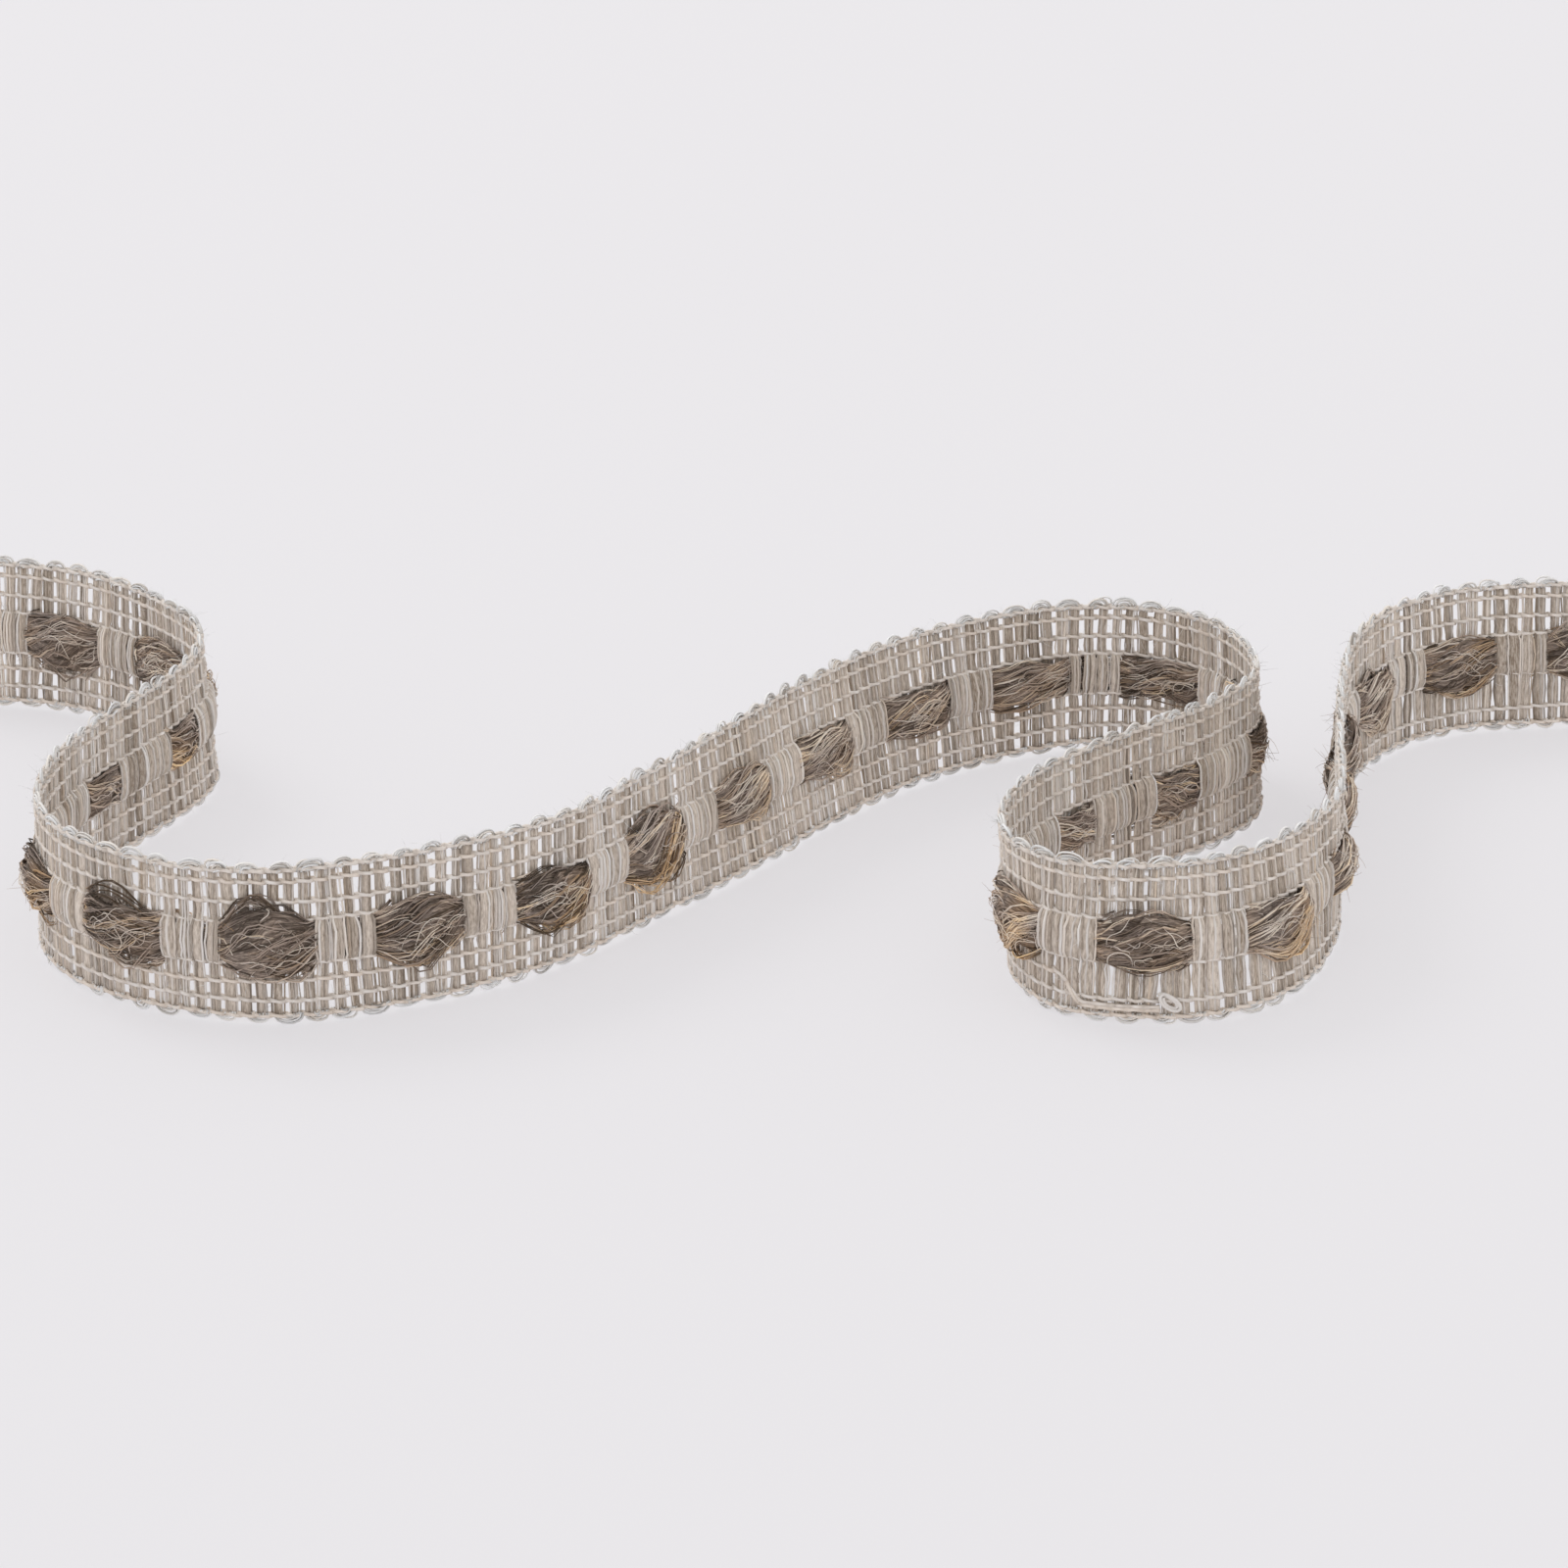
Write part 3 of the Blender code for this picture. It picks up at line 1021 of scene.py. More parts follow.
@dataclass
class Picots(Piece):
    """The turns of the weft at both edges, a scallop of nested loops for every two bundles."""

    yarns: int = 6
    rings: int = 9
    yarn_radius: float = 0.165
    yarn_spacing: float = 0.20
    widest: float = 1.50
    tallest_above: float = 1.20
    tallest_below: float = 1.12
    slope: float = 0.22
    # A loop's foot lies this far inside the edge line. Each inner loop is lower by a share.
    foot: float = 0.3
    lower_by: float = 0.155
    apart: float = 0.05
    # How much scallops differ in place, height, width and slope.
    off: float = 0.18
    heights: Span = (0.68, 1.02)
    widths: Span = (0.84, 1.12)
    slopes: Span = (0.6, 1.2)
    # How much single loops differ in width, roundness, height, slant, ring places and tuck.
    loop_off: float = 0.06
    roundness: Span = (0.65, 0.9)
    loop_height: float = 0.03
    loop_slant: float = 0.26
    ring_off: float = 0.02
    tuck: float = 0.12
    uneven: float = 0.12
    # The outer loops' tone, how much darker the inner ones are, its spread, and the crown's. The
    # inner loops are painted darker, as painted shade inside the outer ones, and the crowns and
    # the outer loops' pale tone are painted light, on the thin tips of the edges.
    tone: float = 0.62
    inner_painted_shade: float = 0.20
    tone_spread: float = 0.22
    crown_painted_light: float = 0.16
    warmth: Span = (0.15, 0.25)
    # The box that the loops stay in, so that none goes far under the surface or past a cut end.
    lowest: Point = (0.0, -9.95, -9.0)
    highest: Point = (WEAVE.length, 10.7, 9.0)

    def strands(self) -> StrandSet:
        """Works out every loop.

        Returns:
            The set of loops at both edges.
        """
        rng = self.rng
        t = np.linspace(0.0, 1.0, self.rings)
        crown, along = np.sin(math.pi * t), np.cos(math.pi * t)
        rows = []
        for side in Side:
            above = side is Side.PLUS
            root = Warp.selvedges[0] if above else -Warp.selvedges[1]
            tallest = self.tallest_above if above else self.tallest_below
            for pair in range(WEAVE.bundles // 2):
                middle = (2 * pair + 1) * WEAVE.pitch + rng.normal(0.0, self.off)
                height = tallest * rng.uniform(*self.heights) + self.foot
                wide = self.widest * rng.uniform(*self.widths)
                flip = rng.uniform(*self.slopes) * self.slope * side.value
                for yarn in range(self.yarns):
                    half = wide - yarn * self.yarn_spacing + rng.normal(0.0, self.loop_off)
                    arch = crown ** rng.uniform(*self.roundness)
                    share = 1.0 - self.lower_by * yarn + rng.normal(0.0, self.loop_height)
                    rise = height * share * arch
                    skew = rng.normal(0.0, self.loop_slant) * rise
                    s = middle - half * along + skew
                    s = s + rng.normal(0.0, self.ring_off, self.rings)
                    tuck = rng.normal(0.0, self.tuck) * crown
                    n = flip * along + self.apart * yarn * (1 if yarn % 2 else -1) + tuck
                    w = root - self.foot + rise
                    rows.append(np.column_stack([s, side.value * w, n]))
        centres = np.clip(np.array(rows), self.lowest, self.highest)
        shape = centres.shape[:2]
        uneven = 1 + rng.normal(0.0, self.uneven, (shape[0], 1))
        radius = np.full(shape, self.yarn_radius) * uneven
        inner = (np.arange(shape[0]) % self.yarns)[:, None] / self.yarns
        # Painted shade: the inner loops are darker.
        shade = self.tone - self.inner_painted_shade * inner
        shade = shade + rng.normal(0.0, self.tone_spread, (shape[0], 1))
        # Painted light: the crowns are paler.
        shade = shade + self.crown_painted_light * crown[None, :]
        warmth = np.clip(rng.normal(*self.warmth, (shape[0], 1)), 0, 1) * np.ones(shape)
        return StrandSet(
            name="picots", centres=centres, radius=radius, shade=shade, warmth=warmth, sides=3
        )

    def build(self) -> bpy.types.Object:
        """Makes the picots.

        Returns:
            The dressed piece.
        """
        return self.make(self.strands(), PICOT_FINISH, Slot.LINEN)


@dataclass
class Plies(StrandSet):
    """Strands whose skins are the two plies' own ovals in the roving's outline.

    fill is the share of the outline that the plies' dark mass fills, under the fibres. Its dark
    colour is painted shade, for the shade deep inside the roving.
    """

    roving: "Roving | None" = None
    fill: float = 0.9

    def flat_points(self, strand: Strand) -> np.ndarray:
        """Points on the plies' skins.

        Args:
            strand: The strand that the plies are made from.

        Returns:
            Flat points, with one row of points for each ply.
        """
        s = self.centres[0, strand.ring, 0]
        x, y = np.cos(strand.angle) * self.fill, np.sin(strand.angle) * self.fill
        return np.array([self.roving.at(s, ply, x, y) for ply in range(len(self.centres))])


@dataclass
class Roving(Piece):
    """Two strands of loose jute twisted together, in front of the weft and behind it by turns.

    The plies change places once in each repeat. Half way along each exposed stretch one of them
    crosses over the other, from the lower left to the upper right.
    """

    ply_offset: float = 0.36
    ply_size: float = 0.64
    ring_step: float = 0.9
    # A row for each place between the middles of an exposed and a covered stretch, with the
    # middle's height over the cloth, the half thickness and the half width.
    sections: tuple[tuple[float, float, float, float], ...] = (
        (0.00, 0.80, 1.45, 4.20),
        (0.06, 0.80, 1.44, 4.12),
        (0.12, 0.78, 1.39, 3.88),
        (0.18, 0.70, 1.28, 3.48),
        (0.24, 0.47, 1.12, 2.98),
        (0.29, 0.15, 0.95, 2.60),
        (0.34, -0.25, 0.85, 2.25),
        (0.42, -0.45, 0.95, 2.50),
        (0.50, -0.50, 1.00, 2.90),
    )
    # How far single bare stretches reach over the roving's middle line and under it. Whole
    # numbers are bare on the front face and halves on the back one.
    reaches: tuple[tuple[float, float, float], ...] = (
        (-5.0, 2.9, 4.8),
        (-4.0, 3.8, 3.4),
        (-2.5, 2.5, 2.8),
        (-1.5, 2.3, 2.6),
        (0.0, 3.3, 3.6),
        (1.0, 4.1, 3.6),
        (2.0, 4.9, 4.4),
        (3.0, 4.1, 4.3),
        (4.0, 3.4, 4.6),
        (5.0, 4.7, 5.2),
        (6.0, 3.6, 3.1),
        (7.0, 2.6, 3.7),
        (8.0, 2.4, 3.4),
        (9.0, 2.4, 3.1),
        (10.0, 2.6, 3.3),
        (12.5, 2.3, 3.9),
        (13.5, 2.1, 2.8),
        (15.0, 3.8, 4.0),
        (16.0, 4.0, 3.4),
        (17.0, 2.9, 4.0),
        (18.0, 2.7, 3.1),
        (19.0, 2.7, 3.1),
        (21.0, 2.7, 5.2),
        (22.0, 3.0, 4.6),
    )
    # How far the upper outline's widest place lies to the left, and the lower one's to the right.
    slant: float = 0.06
    slant_mean: float = 0.8
    slant_swing: float = 0.6
    # Upper and lower reach of the bare stretches that the table leaves out, on both faces.
    usual_front: Span = (3.6, 3.9)
    usual_back: Span = (2.5, 3.0)
    # Where between the middles of two stretches the reach goes over from one to the other.
    change: Span = (0.3, 0.7)
    # How close fibre comes to the cloth's middle plane, in the band and on the cloth beside it.
    band_gap: float = 0.52
    band_gap_behind: float = 0.50
    cloth_gap: float = 0.58
    band_edge: Span = (-1.3, -0.2)
    # Bare stretches whose fibre is more golden than the rest, and how much paler or darker
    # single ones are.
    golden: tuple[float, ...] = (-2.5, 0.0, 4.0, 5.0, 15.0, 17.0)
    tones: tuple[tuple[float, float], ...] = (
        *((-4.0, 0.3), (1.0, -0.26), (2.0, -0.2), (3.0, -0.06), (5.0, 0.08), (6.0, 0.33)),
        *((7.0, 0.5), (8.0, 0.25), (9.0, 0.22), (12.5, 0.22), (13.5, 0.28), (15.0, 0.35)),
        *((16.0, -0.12), (17.0, 0.5), (18.0, 0.35), (19.0, 0.3)),
        *((21.0, 0.5), (22.0, 0.0)),
    )
    # The core's tone; its dark finish is painted shade.
    core_painted_shade: float = 0.45
    # The fibre lies in locks. Each has a place round the roving, as a share of half a turn, and
    # its own tone, gold, curl, wave and twist.
    locks: int = 9
    lock_places: Span = (-0.15, 1.15)
    lock_tone: Span = (0.37, 0.22)
    lock_gold: float = 0.25
    most_gold: float = 0.6
    lock_curl: float = 0.17
    lock_waves: Span = (2.0, 5.0)
    # How far the fibres turn round the roving for a millimetre of its length, in radians, and
    # how much that differs between stretches and between locks.
    twist: float = 0.11
    stretch_twists: Span = (0.7, 1.5)
    lock_twists: Span = (0.5, 1.8)
    # Fibres lie in small wisps, some of them free of any lock.
    in_wisp: int = 2
    free_share: float = 0.5
    wisp_turn: float = 0.22
    wisp_tone: float = 0.22
    wisp_depth: Span = (0.88, 1.10)
    wisp_swing: float = 0.09
    wisp_rates: Span = (4.0, 10.0)
    fibre_radius: float = 0.075
    fibre_sizes: Span = (0.6, 1.35)
    fibre_along: float = 0.03
    fibre_turn: float = 0.04
    fibre_swing: float = 0.03
    fibre_rates: Span = (4.0, 11.0)
    fibre_tone: float = 0.12
    # Fibres that lie deeper are painted darker, as painted shade under those on top.
    depth_painted_shade: float = 1.2
    tone_swing: float = 0.10
    tone_rates: Span = (2.0, 5.0)
    # Stray fibres: their rings, their lengths as shares of the reach, how they slope, curl and
    # wave, how far from the middle line they lie, and how close to the cloth's plane at most.
    stray_rings: int = 13
    stray_lengths: Span = (0.35, 1.5)
    stray_slope: Span = (0.12, 0.35)
    stray_curl: float = 1.2
    stray_wave: float = 0.5
    stray_rates: Span = (4.0, 11.0)
    stray_place: float = 0.35
    stray_half_width: float = 3.2
    stray_gap: float = 0.6
    stray_sizes: Span = (0.045, 0.075)
    stray_tone: Span = (0.80, 0.15)
    # Short hairs: their rings, how far from a bare stretch's middle they stand, how they lean
    # and bend, their lengths' square roots, and how close to the cloth's plane they come.
    hair_rings: int = 5
    hair_reach_front: float = 4.8
    hair_reach_back: float = 3.0
    hair_along: float = 0.9
    hair_up: float = 0.8
    hair_bend: float = 0.5
    hair_lengths: Span = (0.7, 1.6)
    hair_gap: float = 0.55
    hair_size: float = 0.036
    hair_taper: float = 0.6
    hair_tone: Span = (0.50, 0.20)
    # How golden the golden stretches are. On the others, the least and what a patch adds. Where
    # the patch begins, how it ripples, and the share of it on stray fibres and hairs.
    gold: float = 0.60
    gold_elsewhere: Span = (0.06, 0.20)
    gold_edge: Span = (-0.7, 0.8)
    gold_ripple: float = 0.25
    gold_on_strays: float = 0.5
    # The share of a stretch's tone that its lower half takes, and where that goes over.
    low_share: float = 0.6
    low_edge: Span = (-1.0, 2.0)

    def at(self, s: np.ndarray, ply: int | None, x: np.ndarray, y: np.ndarray) -> np.ndarray:
        """Flat points for places in a ply or in the whole roving.

        Args:
            s: Places along the tape.
            ply: The ply's number, 0 or 1, or None for the whole roving.
            x: How far up they are, from -1 to 1.
            y: How far out in front, from -1 to 1.

        Returns:
            Rows of s, w and n.
        """
        place = WEAVE.from_exposure(s)
        if ply is not None:
            turn = math.pi / 2 - math.tau * place + math.pi * ply
            full_x = self.ply_offset * np.abs(np.cos(turn)) + self.ply_size
            full_y = self.ply_offset * np.abs(np.sin(turn)) + self.ply_size
            x = (self.ply_offset * np.cos(turn) + self.ply_size * x) / full_x
            y = (self.ply_offset * np.sin(turn) + self.ply_size * y) / full_y
        at, middles, thicks, widths = np.array(self.sections).T
        number = np.round(WEAVE.in_repeats(s))
        slant = self.slant * (self.slant_mean + self.slant_swing * np.sin(number * 1.9))
        up_share, down_share = self.shares(s)
        up = np.interp(np.abs(place + slant), at, widths) * up_share
        down = np.interp(np.abs(place - slant), at, widths) * down_share
        w = WEAVE.band_middle + np.where(x > 0.0, up, down) * x
        thick = np.interp(np.abs(place), at, thicks) * (0.5 + 0.25 * (up_share + down_share))
        n = np.interp(np.abs(place), at, middles) + thick * y
        return np.stack([s, w, self.clear_of_cloth(s, w, n)], axis=-1)

    def shares(self, s: np.ndarray) -> tuple[np.ndarray, np.ndarray]:
        """How much wider or narrower than the usual section the roving is.

        Args:
            s: Places along the tape.

        Returns:
            Factors for its upper half width and for its lower one.
        """
        halves = np.arange(2 * WEAVE.first_repeat, 2 * WEAVE.last_repeat + 1) / 2
        bare = halves % 1.0 == 0.0
        usual = np.where(bare, self.sections[0][3], self.sections[-1][3])
        faces = zip(self.usual_front, self.usual_back)
        table = np.stack([np.where(bare, front, back) for front, back in faces]) / usual
        for number, up, down in self.reaches:
            i = int(2 * (number - WEAVE.first_repeat))
            table[:, i] = np.array([up, down]) / usual[i]
        steps = 2.0 * (WEAVE.in_repeats(s) - WEAVE.first_repeat)
        left = np.clip(np.floor(steps), 0, len(halves) - 2).astype(int)
        ease = smoothstep(steps - left, *self.change)
        up, down = table[:, left] * (1.0 - ease) + table[:, left + 1] * ease
        return up, down

    def clear_of_cloth(self, s: np.ndarray, w: np.ndarray, n: np.ndarray) -> np.ndarray:
        """Keeps fibre off the cloth that it lies on.

        Args:
            s: Places along the tape.
            w: Heights across it.
            n: Heights over its middle plane.

        Returns:
            The new heights over the middle plane.
        """
        beyond = np.maximum(w - WEAVE.band_top, WEAVE.band_bottom - w)
        outside = smoothstep(beyond, *self.band_edge)
        in_front = np.abs(WEAVE.from_exposure(s)) < WEAVE.slit_at
        lowest = -self.band_gap + outside * (self.band_gap + self.cloth_gap)
        highest = self.band_gap_behind - outside * (self.band_gap_behind + self.cloth_gap)
        return np.where(in_front, np.maximum(n, lowest), np.minimum(n, highest))

    def core(self) -> StrandSet:
        """The two plies' dark inner mass, painted dark as painted shade inside the roving.

        Returns:
            The set of two strands.
        """
        s = np.arange(0.0, WEAVE.length + self.ring_step / 2, self.ring_step)
        centres = np.array([self.at(s, ply, 0.0 * s, 0.0 * s) for ply in range(2)])
        return Plies(
            name="roving_core",
            centres=centres,
            radius=np.full(centres.shape[:2], 1.0),
            shade=np.full(centres.shape[:2], self.core_painted_shade),
            warmth=self.goldenness(centres),
            sides=14,
            roving=self,
        )

    def middles(self, face: Side) -> np.ndarray:
        """Places of the middles of the stretches that lie bare on a face.

        Args:
            face: The face.

        Returns:
            Lengths along the tape.
        """
        first = WEAVE.first_repeat + (0.0 if face is Side.PLUS else 0.5)
        return WEAVE.at_repeat(np.arange(first, WEAVE.last_repeat + TINY, 1.0))

    def skin(self, name: str, face: Side, each: int, reach: float, rings: int) -> StrandSet:
        """The long fibres, lying in locks, of the stretches that are bare on one face.

        Args:
            name: Name of the piece.
            face: The face.
            each: Number of fibres in each stretch.
            reach: How far they go to both sides of its middle.
            rings: Number of points along each.

        Returns:
            The set of fibres.
        """
        rng = self.rng
        t = np.linspace(-1.0, 1.0, rings)
        mean, spread = self.lock_tone
        rows, shades, golds = [], [], []
        for middle in self.middles(face):
            lock_turn = math.pi * rng.uniform(*self.lock_places, self.locks)
            lock_tone = rng.normal(0.0, spread, self.locks)
            lock_tone += mean - lock_tone.mean()
            gold = rng.normal(0.0, self.lock_gold, self.locks)
            lock_gold = np.clip(gold, 0.0, self.most_gold)
            lock_curl = rng.normal(0.0, self.lock_curl, (self.locks, 2))
            lock_wave = rng.uniform(*self.lock_waves, self.locks)
            twist = self.twist * rng.uniform(*self.stretch_twists)
            lock_twist = twist * rng.uniform(*self.lock_twists, self.locks)
            for _ in range(each // self.in_wisp):
                lock = rng.integers(self.locks)
                turn = lock_turn[lock] + rng.normal(0.0, self.wisp_turn)
                if rng.uniform() < self.free_share:
                    turn = math.acos(rng.uniform(-1.0, 1.0))
                off = reach * t
                turn = turn - lock_twist[lock] * off
                tone = lock_tone[lock] + rng.normal(0.0, self.wisp_tone)
                share = rng.uniform(*self.wisp_depth)
                wave = np.sin(t * lock_wave[lock] + 2.0 * lock_turn[lock])
                phase, rate = rng.uniform(0.0, math.tau), rng.uniform(*self.wisp_rates)
                swing = rng.normal(0.0, self.wisp_swing) * np.sin(t * rate + phase)
                for _ in range(self.in_wisp):
                    s = middle + off + reach * rng.normal(0.0, self.fibre_along)
                    s = np.clip(s, 0.0, WEAVE.length)
                    own = turn + rng.normal(0.0, self.fibre_turn)
                    small = rng.normal(0.0, self.fibre_swing)
                    ripple = np.sin(t * rng.uniform(*self.fibre_rates) + phase)
                    small = swing + small * ripple
                    x = share * np.cos(own) + lock_curl[lock, 0] * wave + small
                    y = share * np.sin(own) + lock_curl[lock, 1] * wave + small
                    rows.append(self.at(s, None, x, face.value * y))
                    light = tone + rng.normal(0.0, self.fibre_tone)
                    # Painted shade: a fibre that lies deeper is darker.
                    light = light + self.depth_painted_shade * (share - 1.0)
                    ripple = np.sin(t * rng.uniform(*self.tone_rates) + phase)
                    shades.append(light + self.tone_swing * ripple)
                    golds.append(lock_gold[lock])
        centres = np.array(rows)
        shape = centres.shape[:2]
        sizes = rng.uniform(*self.fibre_sizes, (shape[0], 1))
        return StrandSet(
            name=name,
            centres=centres,
            radius=sizes * self.fibre_radius * np.ones(shape),
            shade=np.array(shades) + self.paleness(centres),
            warmth=np.clip(self.goldenness(centres) + np.array(golds)[:, None], 0.0, 1.0),
            sides=3,
        )

    def goldenness(self, centres: np.ndarray) -> np.ndarray:
        """How golden the fibre is, most at the lower right of some stretches.

        Args:
            centres: Flat points.

        Returns:
            Shares from 0 to 1.
        """
        s, w = centres[..., 0], centres[..., 1]
        number = WEAVE.stretch(s)
        patch = smoothstep((WEAVE.in_repeats(s) - number) * 4.0 - w * 0.25, *self.gold_edge)
        patch = np.clip(patch + self.gold_ripple * np.sin(w * 3.1 + s * 0.9), 0.0, 1.0)
        least, more = self.gold_elsewhere
        return np.where(np.isin(number, self.golden), self.gold * patch, least + more * patch)

    def paleness(self, centres: np.ndarray) -> np.ndarray:
        """How much paler than the rest the fibre is, most so in the upper half.

        Args:
            centres: Flat points.

        Returns:
            What the table of tones adds, less than 0 where the fibre is darker.
        """
        number = WEAVE.stretch(centres[..., 0])
        change = np.zeros(number.shape)
        for stretch, amount in self.tones:
            change[number == stretch] = amount
        upper = smoothstep(centres[..., 1], *self.low_edge)
        return change * (self.low_share + (1.0 - self.low_share) * upper)

    def loose(self, name: str, face: Side, each: int, reach: float, lift: float) -> StrandSet:
        """Pale curly fibres that lie over the bare stretches of one face.

        Args:
            name: Name of the piece.
            face: The face, front or back.
            each: Number of fibres on each stretch.
            reach: How far they go to both sides of its middle.
            lift: How far they stand off in the middle.

        Returns:
            The set of fibres.
        """
        rng = self.rng
        t = np.linspace(0.0, 1.0, self.stray_rings)
        rows = []
        for middle in self.middles(face):
            for _ in range(each):
                length = rng.uniform(*self.stray_lengths) * reach
                slope = rng.normal(*self.stray_slope)
                curl = rng.normal(0.0, self.stray_curl)
                start = middle + rng.uniform(-reach, reach - 0.5 * length)
                wave = self.stray_wave * np.sin(t * rng.uniform(*self.stray_rates))
                angle = slope + curl * (t - 0.5) + wave
                step = length / (len(t) - 1)
                s = start + np.cumsum(np.cos(angle)) * step
                s = np.clip(s, max(middle - reach, 0.0), min(middle + reach, WEAVE.length))
                rise = np.cumsum(np.sin(angle)) * step
                x = rng.normal(0.0, self.stray_place)
                x = np.clip(x + (rise - rise.mean()) / self.stray_half_width, -1.0, 1.0)
                near = np.sqrt(np.clip(1.0 - 0.75 * x**2, 0.05, 1.0))
                laid = self.at(s, None, x, face.value * near)
                off = lift * rng.uniform(0.1, 1.0) * np.sin(math.pi * t) ** 2 + 0.1
                laid[:, 2] += face.value * off
                height = np.maximum(face.value * laid[:, 2], self.stray_gap)
                laid[:, 2] = face.value * height
                rows.append(laid)
        centres = np.array(rows)
        shape = centres.shape[:2]
        taper = np.clip(np.minimum(t, 1 - t) * 6, 0.35, 1.0)
        radius = rng.uniform(*self.stray_sizes, (shape[0], 1)) * taper[None, :]
        shade = np.clip(rng.normal(*self.stray_tone, (shape[0], 1)), 0.3, 1.0)
        return StrandSet(
            name=name,
            centres=centres,
            radius=radius,
            shade=shade * np.ones(shape),
            warmth=self.gold_on_strays * self.goldenness(centres),
            sides=3,
        )

    def frizz(self, each: int) -> StrandSet:
        """Short hairs that stand out from the roving all round.

        Args:
            each: Number of hairs on each bare stretch of both faces.

        Returns:
            The set of hairs.
        """
        rng = self.rng
        t = np.linspace(0.0, 1.0, self.hair_rings)
        rows = []
        for face in Side:
            reach = self.hair_reach_front if face is Side.PLUS else self.hair_reach_back
            for middle in self.middles(face):
                for _ in range(each):
                    s = float(np.clip(middle + rng.uniform(-reach, reach), 0.0, WEAVE.length))
                    turn = face.value * rng.beta(0.6, 0.6) * math.pi
                    x, y = np.full(1, math.cos(turn)), np.full(1, math.sin(turn))
                    root = self.at(np.full(1, s), int(rng.integers(2)), x, y)[0]
                    along, up = rng.normal(0.0, self.hair_along), self.hair_up * x[0]
                    way = np.array([along, up, face.value * abs(y[0])])
                    way = way / np.linalg.norm(way) * rng.uniform(*self.hair_lengths) ** 2
                    bend = rng.normal(0.0, self.hair_bend, 3)
                    hair = root + t[:, None] * way + (t[:, None] ** 2) * bend
                    hair[:, 0] = np.clip(hair[:, 0], 0.0, WEAVE.length)
                    height = np.maximum(face.value * hair[:, 2], self.hair_gap)
                    hair[:, 2] = face.value * height
                    rows.append(hair)
        centres = np.array(rows)
        shape = centres.shape[:2]
        shade = np.clip(rng.normal(*self.hair_tone, (shape[0], 1)), 0.1, 1.0)
        return StrandSet(
            name="roving_frizz",
            centres=centres,
            radius=np.full(shape, self.hair_size) * (1.0 - self.hair_taper * t)[None, :],
            shade=shade * np.ones(shape),
            warmth=self.gold_on_strays * self.goldenness(centres),
            sides=3,
        )

    def build(self) -> list[bpy.types.Object]:
        """Makes the roving's pieces.

        Returns:
            The dressed pieces.
        """
        core = self.make(self.core(), CORE_FINISH, Slot.JUTE)
        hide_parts("jute_roving")
        sets = (
            self.skin("jute_front", Side.PLUS, each=96, reach=7.4, rings=12),
            self.skin("jute_back", Side.MINUS, each=48, reach=5.4, rings=11),
            self.loose("loose_fibres_front", Side.PLUS, each=17, reach=5.3, lift=0.5),
            self.loose("loose_fibres_back", Side.MINUS, each=10, reach=3.5, lift=0.35),
            self.frizz(each=26),
        )
        return [core, *(self.make(strands, FIBRE_FINISH, Slot.JUTE) for strands in sets)]


@dataclass
class Fuzz(Piece):
    """Short fine hairs along the upper edge and over both faces."""

    hairs: int = 2200
    rings: int = 4
    radius: float = 0.03
    taper: float = 0.6
    tone: float = 0.8
    lengths: Span = (0.5, 1.5)
    curve: float = 0.5
    # The share of hairs on the upper edge, and between which heights they and the others stand.
    edge_share: float = 0.45
    edge_heights: Span = (9.2, 9.8)
    heights: Span = (-9.5, 9.5)
    off_plane: float = 0.25
    # How far hairs lean along, up and out of the cloth, before their length is set.
    lean: float = 0.8
    edge_lean: Span = (0.1, 0.9)
    out_lean: Span = (0.2, 0.8)
    lowest: Point = (0.0, -9.9, -9.0)
    highest: Point = (WEAVE.length, 11.0, 9.0)

    def strands(self) -> StrandSet:
        """Works out the hairs.

        Returns:
            The set of hairs, nearly half of them on the upper edge.
        """
        rng = self.rng
        t = np.linspace(0.0, 1.0, self.rings)
        count = self.hairs
        s = rng.uniform(0.0, WEAVE.length, count)
        on_edge = rng.uniform(0.0, 1.0, count) < self.edge_share
        edge, other = (rng.uniform(*span, count) for span in (self.edge_heights, self.heights))
        w = np.where(on_edge, edge, other)
        n = rng.choice([-1.0, 1.0], count) * self.off_plane
        length = rng.uniform(*self.lengths, count)
        lean_s = rng.normal(0.0, self.lean, count)
        edge = rng.uniform(*self.edge_lean, count)
        lean_w = np.where(on_edge, edge, rng.normal(0.0, self.lean, count))
        lean_n = np.sign(n) * rng.uniform(*self.out_lean, count)
        curve = rng.normal(0.0, self.curve, (count, 3))
        way = np.stack([lean_s, lean_w, lean_n], axis=-1)
        way /= np.linalg.norm(way, axis=1, keepdims=True)
        root = np.stack([s, w, n], axis=-1)
        reach = (length[:, None] * t[None, :])[..., None]
        bend = (length[:, None] * t[None, :] ** 2)[..., None] * curve[:, None, :]
        centres = root[:, None, :] + reach * way[:, None, :] + bend
        centres = np.clip(centres, self.lowest, self.highest)
        shape = centres.shape[:2]
        return StrandSet(
            name="fuzz",
            centres=centres,
            radius=np.full(shape, self.radius) * (1.0 - self.taper * t)[None, :],
            shade=np.full(shape, self.tone),
            sides=3,
        )

    def build(self) -> bpy.types.Object:
        """Makes the hairs.

        Returns:
            The dressed piece.
        """
        return self.make(self.strands(), PICOT_FINISH, Slot.LINEN)


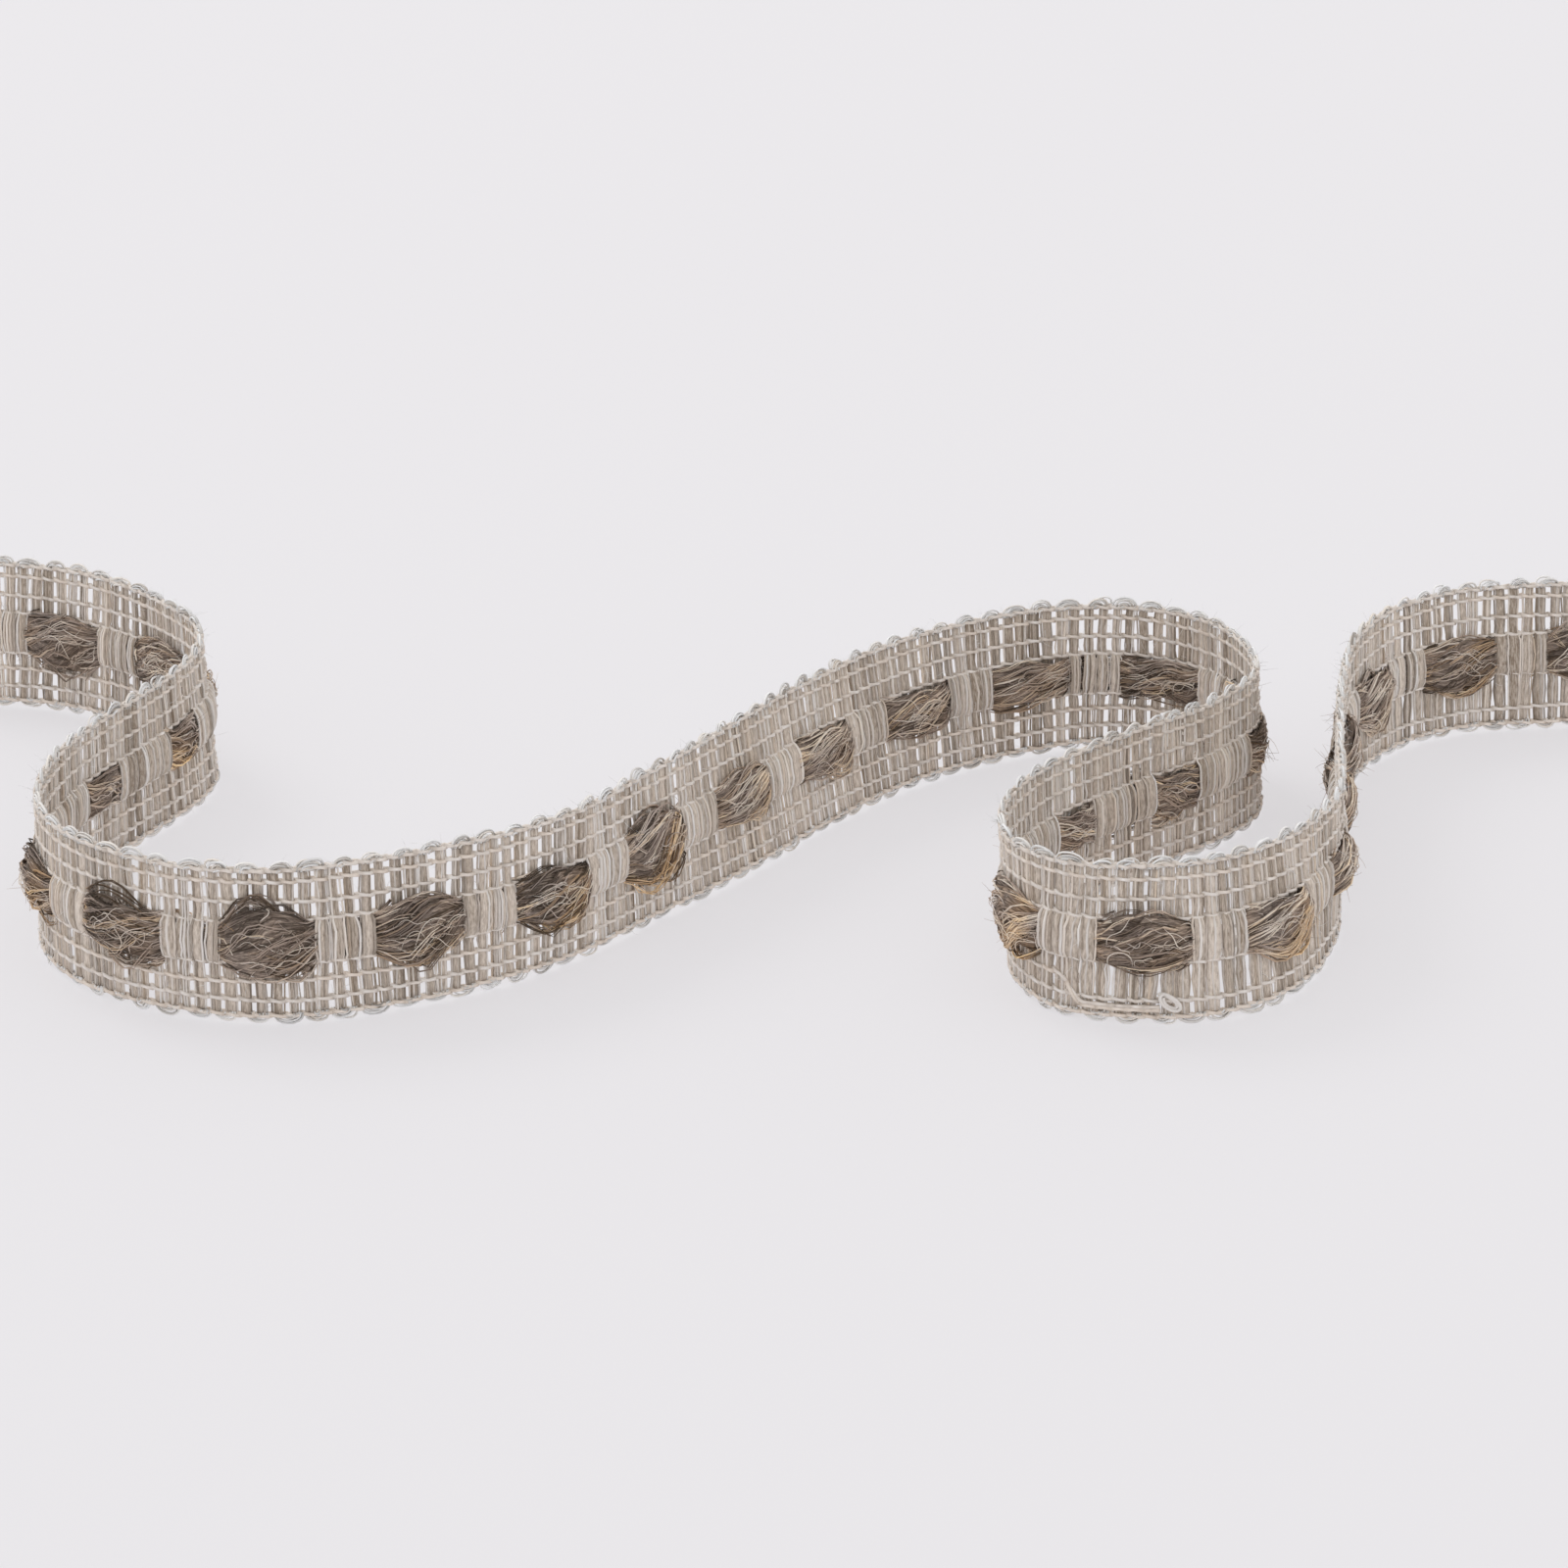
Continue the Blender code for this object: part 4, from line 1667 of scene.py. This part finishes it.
@dataclass(frozen=True)
class Studio:
    """The pale surface, the soft light and the camera."""

    elevation: float = 23.10
    distance: float = 696.5
    focal_length: float = 124.64
    sensor: float = 36.0
    clip: Span = (0.01, 20.0)
    floor_size: float = 4.0
    sky_strength: float = 0.88
    sky_colour: Colour = (1.0, 0.995, 1.0)
    # Name, place in metres, size in metres, power in watts.
    lamps: tuple[tuple[str, Point, float, float], ...] = (
        ("window", (-1.6, 1.4, 2.2), 1.6, 20.0),
    )

    def camera(self, trim: Trim) -> bpy.types.Object:
        """Sets the camera at the picture's own angle.

        Args:
            trim: The trim, which knows where the route's origin lies in the frame.

        Returns:
            The camera.
        """
        data = bpy.data.cameras.new("camera")
        data.lens = self.focal_length
        data.sensor_width = self.sensor
        data.sensor_fit = "HORIZONTAL"
        data.clip_start, data.clip_end = self.clip
        camera = bpy.data.objects.new("camera", data)
        bpy.context.scene.collection.objects.link(camera)
        angle = math.radians(self.elevation)
        target = Vector(trim.shift) * MM
        back = Vector((0.0, -math.cos(angle), math.sin(angle)))
        camera.location = target + back * self.distance * MM
        camera.rotation_mode = "QUATERNION"
        camera.rotation_quaternion = (-back).to_track_quat("-Z", "Y")
        bpy.context.scene.camera = camera
        return camera

    def floor(self) -> bpy.types.Object:
        """Makes the pale surface.

        Returns:
            The floor.
        """
        grid = bmesh.new()
        bmesh.ops.create_grid(grid, x_segments=2, y_segments=2, size=self.floor_size / 2)
        mesh = bpy.data.meshes.new("floor")
        grid.to_mesh(mesh)
        grid.free()
        mesh.materials.append(FloorFinish().material())
        floor = bpy.data.objects.new("floor", mesh)
        bpy.context.scene.collection.objects.link(floor)
        return floor

    def lights(self) -> None:
        """Sets the sky and the soft lamps, all aimed at the trim."""
        world = bpy.data.worlds.new("sky")
        world.use_nodes = True
        sky = world.node_tree.nodes["Background"]
        sky.inputs["Color"].default_value = (*self.sky_colour, 1.0)
        sky.inputs["Strength"].default_value = self.sky_strength
        bpy.context.scene.world = world
        for name, place, size, power in self.lamps:
            data = bpy.data.lights.new(name, "AREA")
            data.shape = "DISK"
            data.size = size
            data.energy = power
            lamp = bpy.data.objects.new(name, data)
            lamp.location = place
            lamp.rotation_mode = "QUATERNION"
            lamp.rotation_quaternion = (-Vector(place)).to_track_quat("-Z", "Y")
            bpy.context.scene.collection.objects.link(lamp)

    def build(self, trim: Trim) -> None:
        """Builds the whole studio round the trim.

        Args:
            trim: The trim, which the camera is aimed at.
        """
        self.camera(trim)
        self.floor()
        self.lights()
        bpy.context.scene.view_settings.view_transform = "Standard"


def corners(bounds: tuple[Vector, Vector]) -> list[list[float]]:
    """The two corners of a box as plain lists."""
    return [[float(x) for x in corner] for corner in bounds]


def main() -> None:
    """Builds every piece of the trim and the studio."""
    logging.basicConfig(level=logging.INFO, format="%(name)s: %(message)s")
    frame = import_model()
    LOG.info("frame: %s", ", ".join(frame["nodes"]))
    trim = Trim()
    rng = np.random.default_rng(SEED)

    weft, hearts = Weft(trim, rng).build()
    pieces = [weft, hearts, *Warp(trim, rng).build(), Picots(trim, rng).build()]
    roving = Roving(trim, rng).build()
    fuzz = Fuzz(trim, rng).build()
    for piece in (*pieces, *roving, fuzz):
        LOG.info("%s: %d faces", piece.name, len(piece.data.polygons))
    Studio().build(trim)


if __name__ == "__main__":
    main()
